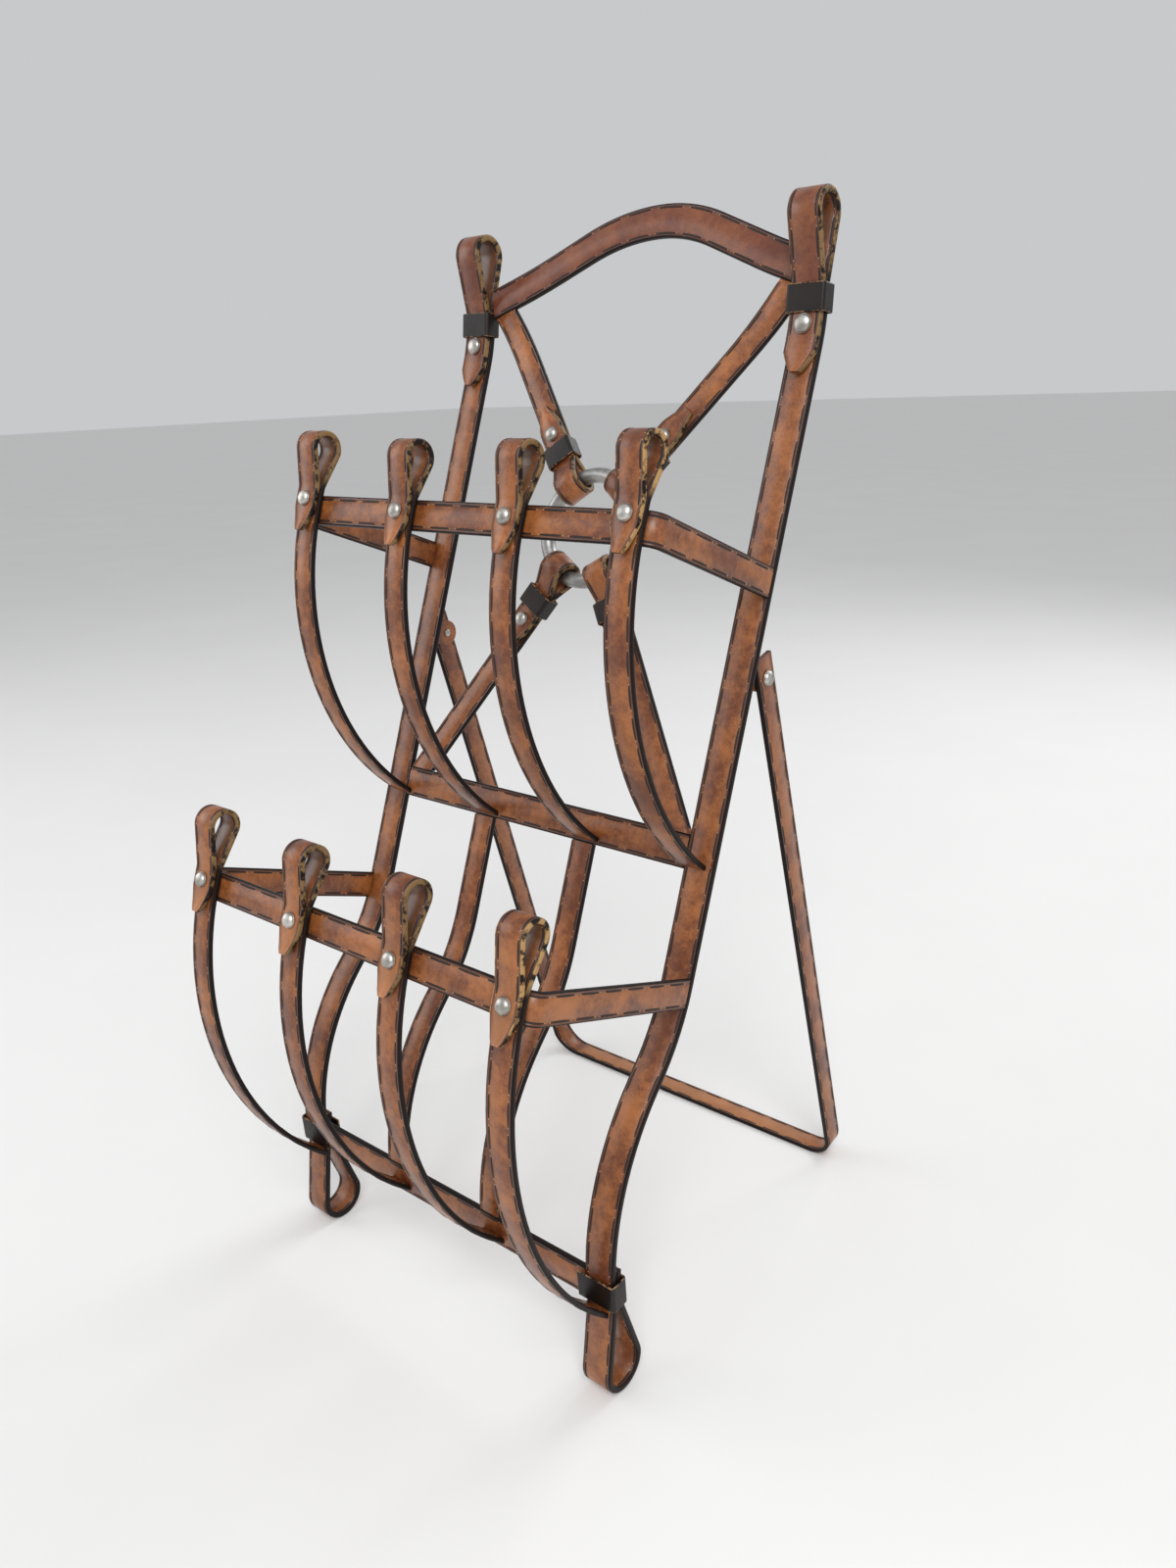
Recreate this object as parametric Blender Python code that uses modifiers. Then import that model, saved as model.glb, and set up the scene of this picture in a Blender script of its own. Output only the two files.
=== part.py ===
"""Free-standing magazine rack: flat steel bar covered in stitched leather, with two slatted
baskets on a leaning panel, a ring in the middle of the panel and a folding rear leg.

Metres, +Z up, the baskets face -Y. The origin is on the floor, under the middle of the rack."""

import math

import bmesh
import bpy
from mathutils import Matrix, Vector

# Leather-covered bar
WIDE, THICK = 0.025, 0.0055  # panel frame
SLIM, THIN = 0.022, 0.0045  # ribs, slats, rails, ring straps and leg
SEAM = 0.002  # leather beyond the steel at each edge
GAP = 0.0003  # between pieces that touch
FRAME_GAUGE, CROSS_GAUGE, SLIM_GAUGE = 0.0025, 0.0023, 0.0019  # steel thickness

# Panel: local X across, local Y up the lean, local Z out of its front
LEAN = math.radians(21.4)
PANEL_HEIGHT = 0.378  # middle of the middle crossbar
UPRIGHT_X = 0.158
INNER_X = UPRIGHT_X - WIDE / 2 - GAP  # where crosswise pieces end

# Upright, downwards from its straight part
STRAIGHT_LOW = 0.292
KICK = [(0.0657, 23.6), (0.014, 0), (0.1594, -50)]  # (length, turn in degrees)
FOOT_RADIUS = 0.01725
TUCK = 0.026  # foot strap tucked up behind the keeper

# Upright, upwards
STRAIGHT = 0.4545
CREST = (0.043, -18.4)
TOP_LOOP_RADIUS, TOP_LOOP_HEIGHT = 0.0135, 0.046
TOP_RIVET_Z, TOP_TIP_Z = 0.7300, 0.700
TOP_KEEPER_Z = 0.7480
TIP_SHARES, TIP_WIDTHS = (0.72, 0.28), (0.56, 0.36)  # of a tip's length and of the strap's width
CORE_PAST_LOOP, PANEL_PAST_LOOP = 0.026, 0.08  # how far steel and surface go on behind the top loop
TWIST_PLAY = 0.0007  # round the leg's steel, which twists in the corners
CREST_PLAY = 0.0006  # under the flat of the top rivets, where the strap is bent

# Arch between the uprights, from its crest outwards
ARCH_CREST, ARCH_TOP = 0.018, 0.8245
ARCH_LEFT = [(0.067, 23), (0.035, 0), (0.050, -5), (0.022, 0)]
ARCH_RIGHT = [(0.054, 24), (0.050, 0), (0.035, -6), (0.015, 0)]

# Ring and its straps
RING_RADIUS, RING_BAR = 0.042, 0.006
RING_UP = 0.228  # above the middle crossbar, along the panel
STRAP_LOOP_RADIUS, STRAP_LOOP_BASE = 0.011, 0.064
STRAP_KEEPER, STRAP_RIVET, STRAP_TIP = 0.072, 0.091, 0.117
RING_CORNERS = {  # of the panel, from the ring's centre
    "upper_left": (-0.133, 0.180),
    "upper_right": (0.140, 0.1755),
    "lower_left": (-0.133, -0.215),
    "lower_right": (0.133, -0.215),
}
ARCH_LAP = 0.016  # of the upper straps' steel over that corner, into the arch
CORE_INSET = 0.004  # of the steel from a free end

# Crossbars and slats
FOOT_BAR_Z = 0.0925
SLAT_X = 0.052

# Baskets: the rail's distance up the panel and its reach, and the height of the ribs' loops
RAIL_OUT, RAIL_CORNER, RAIL_PLAY = 0.1705, 0.009, 0.0010
RIB_LOOP_RADIUS, RIB_LOOP_BASE, RIB_TIP = 0.0110, 0.0085, 0.0245
UPPER_RIB_END, INNER_RIB_END, OUTER_RIB_END = -0.009, 0.0845, 0.0710
UPPER_RIBS = [(-0.151, 0.006), (-0.048, 0), (0.056, 0), (0.153, 0.006)]  # (x, lift of the rivet)
LOWER_RIBS = [(-0.155, 0.004), (-0.048, 0), (0.055, 0), (0.155, 0)]
UPPER = {"up": 0.197, "reach": 0.1465, "loop": 0.0305, "ribs": UPPER_RIBS}
LOWER = {"up": -0.098, "reach": 0.172, "loop": 0.0345, "ribs": LOWER_RIBS}

# Rear leg
PIVOT = Vector((0, 0.0695, 0.494))
LEG_X = 0.16575
LEG_FOOT_Y = 0.2095
LEG_CORNER = 0.024
LEG_ABOVE = 0.0165
TAB_X, TAB_THICK, TAB_RADIUS, TAB_STEP = 0.1607, 0.005, 0.011, 20

# Fasteners and keepers
DOME_RADIUS, TOP_DOME_RADIUS, DOME_HEIGHT = 0.006, 0.007, 0.0042
SHANK_RADIUS, HOLE_RADIUS = 0.002, 0.0023
KEEPER_WALL, KEEPER_PLAY, FLAP = 0.002, 0.0008, 0.003
KEEPER_HEIGHT, STRAP_KEEPER_HEIGHT, FOOT_KEEPER_HEIGHT = 0.019, 0.017, 0.022
FOOT_KEEPER_Z = 0.091
KEEPER_CORNER = 0.002
STACK_SPAN = 0.008  # of a curved strap that a keeper or rivet lies square to
CLENCH = [(1.6, 0), (1.3, 0.0012)]  # of a rivet's tail: (share of the shank's radius, depth)
DOME_ANGLES = (0.8, 0)
ROUND_STEPS, RING_STEPS, HOLE_STEPS = 10, 24, 8

# Cutters: far beyond the rack, how deep a hole is bored, and clearly past a bar's faces
FAR, BORE_DEPTH, PAST = 0.3, 0.04, 0.03

ACROSS = Vector((1, 0, 0))
SIDES = {"left": -1, "right": 1}
CHORD_ERROR, MOST_STEP = 0.0005, math.radians(30)

# Looks: colour, roughness, metallic
LEATHER = ((0.30, 0.10, 0.035), 0.45, 0)
KEEPER_LEATHER = ((0.02, 0.014, 0.012), 0.4, 0)
RING_STEEL = ((0.42, 0.42, 0.41), 0.35, 1)
PEWTER = ((0.62, 0.61, 0.58), 0.3, 1)
IRON = ((0.12, 0.11, 0.11), 0.6, 1)


# Scene and materials


for leftover in list(bpy.data.objects):
    bpy.data.objects.remove(leftover, do_unlink=True)


def collection(name):
    made = bpy.data.collections.new(name)
    bpy.context.scene.collection.children.link(made)
    return made


def empty(name, location, rotation=(0, 0, 0)):
    made = bpy.data.objects.new(name, None)
    PARTS.objects.link(made)
    made.location = location
    made.rotation_euler = rotation
    return made


PARTS, CUTTERS = collection("magazine_rack"), collection("cutters")
PANEL = empty("panel", (0, 0, PANEL_HEIGHT), (math.pi / 2 - LEAN, 0, 0))
LEG = empty("leg_pivot", PIVOT)


def material(name, look):
    colour, roughness, metallic = look
    made = bpy.data.materials.new(name)
    made.use_nodes = True
    shader = made.node_tree.nodes["Principled BSDF"]
    shader.inputs["Base Color"].default_value = (*colour, 1)
    shader.inputs["Roughness"].default_value = roughness
    shader.inputs["Metallic"].default_value = metallic
    return made


def add(name, mesh, look=None, parent=None):
    """A new object; one without a look is a cutter."""
    obj = bpy.data.objects.new(name, mesh)
    (PARTS if look else CUTTERS).objects.link(obj)
    obj.parent = parent
    if look:
        mesh.materials.append(material(name, look))
    else:
        obj.hide_render = True
        obj.display_type = "WIRE"
    return obj


def cut(obj, *cutters):
    for cutter in cutters:
        modifier = obj.modifiers.new(cutter.name, "BOOLEAN")
        modifier.object = cutter


def mesh_from(shape, name):
    mesh = bpy.data.meshes.new(name)
    shape.to_mesh(mesh)
    shape.free()
    return mesh


# Paths: headings are measured from the second axis towards the first


def trace(start, heading, stretches):
    """Points along smooth stretches of (length, turn in degrees), and the heading at the end."""
    points = [Vector(start)]
    for length, turn in stretches:
        angle = math.radians(turn)
        steps = 1
        if turn:
            step = min(MOST_STEP, 2 * math.acos(1 - CHORD_ERROR * abs(angle) / length))
            steps = math.ceil(abs(angle) / step)
        half = angle / steps / 2
        chord = length / steps * (math.sin(half) / half if half else 1)
        for _ in range(steps):
            heading += half
            points.append(points[-1] + chord * Vector((math.sin(heading), math.cos(heading))))
            heading += half
    return points, heading


def loop(radius, height, half_stack, side):
    """Stretches of a teardrop loop that leaves one layer of a strap and comes back along the
    other. Its round end is centred height above the stack; side is +1 if it leaves to the right."""
    bend = radius  # where it leaves the stack
    reach = math.hypot(half_stack + bend, height)
    spread = math.atan2(height, half_stack + bend) - math.acos((radius + bend) / reach)
    straight = (height - (radius + bend) * math.sin(spread)) / math.cos(spread)
    degrees = math.degrees(spread) * side
    leave = (bend * spread, degrees)
    over = (radius * (math.pi + 2 * spread), -180 * side - 2 * degrees)
    return [leave, (straight, 0), over, (straight, 0), leave]


def clip(points, low, high):
    """The stretch of a downward path between two heights of its second coordinate."""
    kept = []
    for a, b in zip(points, points[1:]):
        if a[1] < low or b[1] > high:
            continue
        top = a.lerp(b, max(0, (a[1] - high) / (a[1] - b[1])))
        end = a.lerp(b, min(1, (a[1] - low) / (a[1] - b[1])))
        kept += [top, end] if not kept else [end]
    return kept


def side_points(points, x):
    return [Vector((x, *p)) for p in points]


def lean_point(up, out):
    """A point of the panel's side view, from its distances up the panel and out of its front."""
    return Vector((0, PANEL_HEIGHT)) + Matrix.Rotation(-LEAN, 2) @ Vector((-out, up))


# Solids


def strip(name, points, across, widths, thickness, look=None, parent=None, closed=False):
    """A strip of leather or steel along the points, as an open surface that Solidify thickens."""
    shape = bmesh.new()
    count = len(points)
    across = across if isinstance(across, list) else [across] * count
    widths = widths if isinstance(widths, list) else [widths] * count
    rails = []
    for point, way, width in zip(points, across, widths):
        rails.append([shape.verts.new(point + way * width * side / 2) for side in (-1, 1)])
    ends = rails[1:] + rails[:1] if closed else rails[1:]
    for (a, b), (c, d) in zip(rails, ends):
        shape.faces.new((a, b, d, c))
    obj = add(name, mesh_from(shape, name), look, parent)
    solidify = obj.modifiers.new("thickness", "SOLIDIFY")
    solidify.thickness = thickness
    solidify.offset = 0
    solidify.use_even_offset = True
    return obj


def box(name, low, high, parent=None):
    """A cutter between two opposite corners."""
    low, high = Vector(low), Vector(high)
    shape = bmesh.new()
    bmesh.ops.create_cube(shape, size=1)
    bmesh.ops.scale(shape, vec=high - low, verts=shape.verts)
    bmesh.ops.translate(shape, vec=(high + low) / 2, verts=shape.verts)
    return add(name, mesh_from(shape, name), None, parent)


def hole(name, place, parent=None):
    """A cutter for a rivet's hole, along the local Z of its place."""
    shape = bmesh.new()
    bmesh.ops.create_cone(
        shape, cap_ends=True, segments=HOLE_STEPS, radius1=HOLE_RADIUS, radius2=HOLE_RADIUS,
        depth=BORE_DEPTH
    )
    obj = add(name, mesh_from(shape, name), None, parent)
    obj.matrix_local = place
    return obj


def turn(obj, steps):
    screw = obj.modifiers.new("turn", "SCREW")
    screw.steps = screw.render_steps = steps
    screw.use_merge_vertices = True
    screw.merge_threshold = 0.0001
    screw.use_smooth_shade = True


def rivet(name, place, grip, radius, through, parent=None):
    """A domed rivet turned about the local Z of its place, which is halfway through its grip,
    and its hole through each of some parts."""
    top, bottom = grip / 2 + GAP, -grip / 2 - GAP
    dome = [(radius * math.cos(a), top + DOME_HEIGHT * math.sin(a)) for a in DOME_ANGLES]
    profile = [(0, top + DOME_HEIGHT), *dome, (SHANK_RADIUS, top)]
    tail = [(share * SHANK_RADIUS, bottom - depth) for share, depth in CLENCH]
    profile += [(SHANK_RADIUS, bottom), *tail, (0, tail[-1][1])]
    shape = bmesh.new()
    dots = [shape.verts.new((r, 0, z)) for r, z in profile]
    for a, b in zip(dots, dots[1:]):
        shape.edges.new((a, b))
    obj = add(name, mesh_from(shape, name), PEWTER, parent)
    obj.matrix_local = place
    turn(obj, ROUND_STEPS)
    bore = hole(f"hole for {name}", place, parent)
    for part in through:
        cut(part, bore)


def keeper(name, place, inner, height, parent=None, open_side=0):
    """A band round a stack of inner = (width, depth) across the local X and Y of its place.
    With open_side of -1 or +1 that side is left open, with short flaps in front and behind."""
    half_x, half_y = ((size + KEEPER_WALL) / 2 + KEEPER_PLAY for size in inner)
    corner = KEEPER_CORNER
    side, front = (2 * (half_y - corner), 0), (2 * (half_x - corner), 0)
    bend = (corner * math.pi / 2, 90)
    if open_side:
        flap = (2 * half_x + FLAP - corner, 0)
        flat, _ = trace((-half_x - FLAP, half_y), math.pi / 2, [flap, bend, side, bend, flap])
        flat = [Vector((-x * open_side, y)) for x, y in flat]
    else:
        start = (-half_x + corner, half_y)
        flat, _ = trace(start, math.pi / 2, [front, bend, side, bend, front, bend, side, bend])
        flat.pop()
    points = [point.to_3d() for point in flat]
    rise = Vector((0, 0, 1))
    obj = strip(name, points, rise, height, KEEPER_WALL, KEEPER_LEATHER, parent, not open_side)
    obj.matrix_local = place


def axes(origin, x, z):
    """The place with this origin, local X and local Z."""
    turned = Matrix((x, z.cross(x), z)).transposed().to_4x4()
    return Matrix.Translation(origin) @ turned


# Side views, as (distance back, height)


HALF_STACK, SLIM_HALF_STACK = (THICK + GAP) / 2, (THIN + GAP) / 2
KNEE = Vector(((STRAIGHT_LOW - PANEL_HEIGHT) * math.tan(LEAN), STRAIGHT_LOW))


def foot_stretches():
    """The foot loop below an upright's kick, and its end tucked behind the upright."""
    points, heading = trace(KNEE, math.pi + LEAN, KICK)
    lean = heading - math.pi
    drop = points[-1].y - FOOT_RADIUS - THICK / 2 - HALF_STACK * math.sin(lean)
    length, turned = KICK[-1]
    tuck_radius = length / math.radians(abs(turned)) - 2 * HALF_STACK
    tuck = (TUCK, math.degrees(TUCK / tuck_radius))
    return loop(FOOT_RADIUS, drop / math.cos(lean), HALF_STACK, 1), tuck


RISE = [(STRAIGHT, 0), CREST]
TOP_LOOP = loop(TOP_LOOP_RADIUS, TOP_LOOP_HEIGHT, HALF_STACK, 1)
FOOT_LOOP, FOOT_TUCK = foot_stretches()


def upward(below, above):
    """A side view of an upright through the foot of its straight part."""
    down, _ = trace(KNEE, math.pi + LEAN, below)
    up, heading = trace(KNEE, LEAN, above)
    return down[:0:-1] + up, heading


UPRIGHT_FRONT, _ = upward(KICK + FOOT_LOOP[:2], RISE)


def upright_path():
    """An upright from its tucked foot end to its tip."""
    length, turned = CREST
    crest_back = (length + 2 * HALF_STACK * math.radians(turned), -turned)
    path, heading = upward(KICK + FOOT_LOOP + [FOOT_TUCK], RISE + TOP_LOOP + [crest_back])
    tip = (path[-1].y - TOP_TIP_Z) / math.cos(heading - math.pi)
    ending, _ = trace(path[-1], heading, tip_stretches(tip))
    return path + ending[1:]


def upright_core_path(play):
    """An upright's steel, from the tuck to behind the top loop, longer by the play."""
    length, turned = FOOT_TUCK
    tuck = (length - CORE_INSET + play, turned)
    path, _ = upward(KICK + FOOT_LOOP + [tuck], RISE + [TOP_LOOP[0], (CORE_PAST_LOOP + play, 0)])
    return path


def tip_stretches(length):
    return [(share * length, 0) for share in TIP_SHARES]


def tapered(count, width):
    """Widths along a strap whose last two stations narrow to its blunt tip."""
    return [width] * (count - len(TIP_WIDTHS)) + [share * width for share in TIP_WIDTHS]


def height_on(points, height):
    """The point at a height of an upward side view."""
    for a, b in zip(points, points[1:]):
        if a.y <= height <= b.y:
            return a.lerp(b, (height - a.y) / (b.y - a.y))
    return points[0]


def arc_to(start, heading, end):
    """The single arc that leaves a point at a heading and reaches another point."""
    chord = end - start
    ahead = Vector((math.sin(heading), math.cos(heading)))
    aside = Vector((ahead.y, -ahead.x))
    turned = 2 * math.atan2(chord.dot(aside), chord.dot(ahead))
    return chord.length / (2 * math.sin(turned / 2)) * turned, math.degrees(turned)


def rib_out(basket):
    """How far the middle of a rib's inner layer stands out of the panel."""
    return basket["reach"] + THIN + RAIL_PLAY


def rib_end(basket, x):
    """Where a rib meets the crossbar or the foot behind it."""
    if basket is UPPER:
        return lean_point(UPPER_RIB_END, 0)
    if abs(x) > SLAT_X + SLIM / 2:
        return height_on(UPRIGHT_FRONT, OUTER_RIB_END)
    return Vector((height_on(UPRIGHT_FRONT, FOOT_BAR_Z).x, INNER_RIB_END))


def rib_path(basket, x, above):
    """A rib from its end at the panel up to its rail, and on by some stretches."""
    middle = lean_point(basket["up"], rib_out(basket))
    down, _ = trace(middle, math.pi + LEAN, [arc_to(middle, math.pi + LEAN, rib_end(basket, x))])
    up, _ = trace(middle, LEAN, above)
    return down[:0:-1] + up


# The panel's surface: the side view of an upright, carried straight on behind the top loop


class Surface:
    def __init__(self, points):
        self.points = points
        lengths = [(b - a).length for a, b in zip(points, points[1:])]
        middle = (Vector((0, PANEL_HEIGHT)) - points[0]).length
        self.marks = [sum(lengths[:i]) - middle for i in range(len(points))]

    def frame(self, x, up, out=0.0):
        """The point at a distance above the middle crossbar, the direction up the surface there
        and the one out of its front."""
        index = sum(mark <= up for mark in self.marks[1:-1])
        foot, head = self.points[index : index + 2]
        way = (head - foot).normalized()
        point = foot + way * (up - self.marks[index])
        front = Vector((0, -way.y, way.x))
        return Vector((x, *point)) + front * out, Vector((0, *way)), front

    def up_at(self, height):
        """The distance above the middle crossbar at a height."""
        point = height_on(self.points, height)
        index = sum(p.y <= height for p in self.points[1:-1])
        return self.marks[index] + (point - self.points[index]).length

    def folds(self, low, high):
        return [mark for mark in self.marks if low < mark < high]


SURFACE = Surface(trace(KNEE, LEAN, RISE + [TOP_LOOP[0], (PANEL_PAST_LOOP, 0)])[0])


# Stations of the other bars, each with the direction across it where that changes


def rail_path(basket):
    """A rail in the panel's own axes."""
    side = RAIL_OUT - THIN / 2
    arm, corner = (basket["reach"] - RAIL_CORNER, 0), (RAIL_CORNER * math.pi / 2, 90)
    flat, _ = trace((-side, 0), 0, [arm, corner, (2 * (side - RAIL_CORNER), 0), corner, arm])
    return [Vector((x, basket["up"], out)) for x, out in flat]


def arch_path():
    _, rise, _ = SURFACE.frame(0, SURFACE.marks[-1])
    crest = Vector((ARCH_CREST, SURFACE.up_at(ARCH_TOP - rise.z * WIDE / 2)))
    right, _ = trace(crest, math.pi / 2, ARCH_RIGHT)
    left, _ = trace((0, 0), math.pi / 2, ARCH_LEFT)
    flat = [crest + Vector((-x, up)) for x, up in left[:0:-1]] + right
    ways = [(b - a).normalized() for a, b in zip(flat[:1] + flat, flat[1:] + flat[-1:])]
    points = [SURFACE.frame(x, up)[0] for x, up in flat]
    return points, [way.x * rise - way.y * ACROSS for way in ways]


def strap_path(corner, end, inner):
    """A ring strap from a distance up the panel inwards, where its last stations are given as
    (distance out of the surface, distance from the ring's centre). The others lie along the
    surface's folds, so the direction across them is slanted and longer."""
    length = math.hypot(*corner)
    aside, rising = corner[0] / length, corner[1] / length
    low, high = sorted((RING_UP, end))
    bends = [(up - RING_UP) / rising for up in (*SURFACE.folds(low, high), end)]
    points, across = [], []
    for r in sorted(bends, reverse=True):
        points.append(SURFACE.frame(r * aside, RING_UP + r * rising)[0])
        across.append(ACROSS / rising)
    for out, r in inner:
        point, rise, _ = SURFACE.frame(r * aside, RING_UP + r * rising, out)
        points.append(point)
        across.append(rising * ACROSS - aside * rise)
    return points, across


def slat_path(x, top, bottom):
    """A back slat from a distance up the panel down to a height."""
    below = clip(UPRIGHT_FRONT[::-1], bottom, lean_point(top, 0).y)
    return side_points(below, x)


def leg_path(above):
    """The leg about its pivot, from left to right; its foot lies flat on the floor."""
    drop = PIVOT.z - THIN / 2
    lean = math.atan2(LEG_FOOT_Y - PIVOT.y, drop)
    reach = drop / math.cos(lean)
    side, corner = (above + reach - LEG_CORNER, 0), (LEG_CORNER * math.pi / 2, -90)
    foot = (2 * (LEG_X - LEG_CORNER), 0)
    points, across = [], []
    for x, up in trace((-LEG_X, above), math.pi, [side, corner, foot, corner, side])[0]:
        leaning = lean * min(1, (up + reach) / LEG_CORNER)
        points.append(Vector((x, -up * math.sin(lean), up * math.cos(lean))))
        across.append(Vector((0, math.cos(leaning), math.sin(leaning))))
    return points, across


# Places of the small parts


def stack_place(points, height, x, behind=False, keeper_axes=True):
    """The middle of a two-layer stack on a side view: for a keeper local Z runs up the strap,
    and for a rivet it points out of the front."""
    low, high = (height_on(points, height + side * STACK_SPAN / 2) for side in (-1, 1))
    way = (high - low).normalized()
    rise, front = Vector((0, *way)), Vector((0, -way.y, way.x))
    middle = Vector((x, *height_on(points, height))) + front * HALF_STACK * (-1 if behind else 1)
    return axes(middle, ACROSS, rise if keeper_axes else front)


def strap_place(corner, distance, keeper_axes=True):
    """The same for a ring strap, in the panel's own axes."""
    along, front = Vector((*corner, 0)).normalized(), Vector((0, 0, 1))
    middle = Vector((0, RING_UP, SLIM_HALF_STACK)) + along * distance
    return axes(middle, along.cross(front), along if keeper_axes else front)


PIVOT_SIDE = Vector((PIVOT.y, PIVOT.z - PANEL_HEIGHT))
PIVOT_UP = PIVOT_SIDE.dot(Vector((math.sin(LEAN), math.cos(LEAN))))
PIVOT_OUT = PIVOT_SIDE.dot(Vector((-math.cos(LEAN), math.sin(LEAN))))


# Parts


def crossbars():
    """The middle of each crossbar, and the direction across its width."""
    rise = Vector((0, math.sin(LEAN), math.cos(LEAN)))
    foot = height_on(UPRIGHT_FRONT, FOOT_BAR_Z)
    return {
        "mid_crossbar": (Vector((0, 0, PANEL_HEIGHT)), rise),
        "bottom_crossbar": (Vector((0, *foot)), Vector((0, 0, 1))),
    }


def skeleton(name, look=None, play=0.0):
    """The welded steel inside the leather or, with play, the room that it needs there."""
    bars = []

    def bar(points, across, width, gauge, parent=None):
        title = f"{name} bar {len(bars)}" if bars else name
        size = width - 2 * SEAM + 2 * play
        colour = None if bars else look
        bars.append(strip(title, points, across, size, gauge + 2 * play, colour, parent))

    for side in SIDES.values():
        points = side_points(upright_core_path(play), side * UPRIGHT_X)
        bar(points, ACROSS, WIDE, FRAME_GAUGE)
    bar(*arch_path(), WIDE, CROSS_GAUGE)
    for middle, rise in crossbars().values():
        bar([middle - ACROSS * UPRIGHT_X, middle + ACROSS * UPRIGHT_X], rise, WIDE, CROSS_GAUGE)
    for basket in (UPPER, LOWER):
        bar(rail_path(basket), Vector((0, 1, 0)), SLIM, SLIM_GAUGE, PANEL)
        for x, lift in basket["ribs"]:
            path = rib_path(basket, x, [(lift + RIB_LOOP_BASE + play, 0)])
            bar(side_points(path, x), ACROSS, SLIM, SLIM_GAUGE)
    for side in SIDES.values():
        points = slat_path(side * SLAT_X, -CORE_INSET, FOOT_BAR_Z + CORE_INSET)
        bar(points, ACROSS, SLIM, SLIM_GAUGE)
    for corner in RING_CORNERS.values():
        end = RING_UP + corner[1] + ARCH_LAP if corner[1] > 0 else CORE_INSET
        bar(*strap_path(corner, end, [(0, STRAP_LOOP_BASE - play)]), SLIM, SLIM_GAUGE)
    for other in bars[1:]:
        weld = bars[0].modifiers.new(other.name, "BOOLEAN")
        weld.operation = "UNION"
        weld.object = other
    return bars[0]


def build_uprights(core, room):
    up_low, up_high = PIVOT_UP - TAB_RADIUS - GAP, PIVOT_UP + TAB_RADIUS + GAP
    for name, side in SIDES.items():
        x = side * UPRIGHT_X
        path = upright_path()
        widths = tapered(len(path), WIDE)
        upright = strip(f"{name}_upright", side_points(path, x), ACROSS, widths, THICK, LEATHER)
        tab = side * TAB_X
        low = (tab - TAB_THICK / 2 - GAP, up_low, -PAST)
        high = (tab + TAB_THICK / 2 + GAP, up_high, -FRAME_GAUGE / 2)
        cut(upright, room, box(f"room for {name} tab", low, high, PANEL))
        place = stack_place(UPRIGHT_FRONT, TOP_RIVET_Z, x, keeper_axes=False)
        grip = 2 * THICK + GAP + CREST_PLAY
        rivet(f"{name}_top_rivet", place, grip, TOP_DOME_RADIUS, [upright, core])

        stack = (WIDE, 2 * THICK + GAP)
        place = stack_place(UPRIGHT_FRONT, TOP_KEEPER_Z, x)
        keeper(f"{name}_top_keeper", place, stack, KEEPER_HEIGHT)
        place = stack_place(UPRIGHT_FRONT, FOOT_KEEPER_Z, x, behind=True)
        keeper(f"{name}_foot_keeper", place, stack, FOOT_KEEPER_HEIGHT, open_side=-side)


def build_crosswise(room, outside):
    arch = strip("top_arch", *arch_path(), WIDE, THICK, LEATHER)
    cut(arch, *outside, room)
    for name, (middle, rise) in crossbars().items():
        points = [middle - ACROSS * INNER_X, middle + ACROSS * INNER_X]
        cut(strip(name, points, rise, WIDE, THICK, LEATHER), room)
    for name, side in SIDES.items():
        top, bottom = -WIDE / 2 - GAP, FOOT_BAR_Z + WIDE / 2 + GAP
        points = slat_path(side * SLAT_X, top, bottom)
        cut(strip(f"{name}_back_slat", points, ACROSS, SLIM, THIN, LEATHER), room)


def keeper_room(side):
    """The room of a top keeper's inner wall, which the straps beside it leave free."""
    half_depth = HALF_STACK + THICK / 2 + KEEPER_PLAY + KEEPER_WALL + GAP
    half_height = KEEPER_HEIGHT / 2 + GAP
    inner = WIDE / 2 + KEEPER_PLAY + KEEPER_WALL + GAP
    low, high = sorted((-side * inner, -side * WIDE / 2))
    corners = (low, -half_depth, -half_height), (high, half_depth, half_height)
    room = box("room for top keeper", *corners)
    room.matrix_local = stack_place(UPRIGHT_FRONT, TOP_KEEPER_Z, side * UPRIGHT_X)
    return room


def build_straps(core, room, outside):
    points, across = arch_path()
    raised = [point + way * PAST for point, way in zip(points, across)]
    above = strip("above the arch's lower edge", raised, across, WIDE + 2 * (PAST + GAP), PAST)
    round_ring = loop(STRAP_LOOP_RADIUS, STRAP_LOOP_BASE - RING_RADIUS, SLIM_HALF_STACK, 1)
    tip = STRAP_TIP - STRAP_RIVET
    ending = [(STRAP_RIVET - STRAP_LOOP_BASE, 0), *tip_stretches(tip)]
    inner, _ = trace((0, STRAP_LOOP_BASE), math.pi, round_ring + ending)
    stack = (SLIM, 2 * THIN + GAP)
    for name, corner in RING_CORNERS.items():
        upper = corner[1] > 0
        end = RING_UP + corner[1] + ARCH_LAP if upper else WIDE / 2 + GAP
        points, across = strap_path(corner, end, inner)
        widths = tapered(len(points), SLIM)
        strap = strip(f"{name}_ring_strap", points, across, widths, THIN, LEATHER)
        cut(strap, *([above] if upper else []), *outside, room)
        place = strap_place(corner, STRAP_RIVET, keeper_axes=False)
        rivet(f"{name}_strap_rivet", place, stack[1], DOME_RADIUS, [strap, core], PANEL)
        place = strap_place(corner, STRAP_KEEPER)
        keeper(f"{name}_strap_keeper", place, stack, STRAP_KEEPER_HEIGHT, PANEL)


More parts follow.
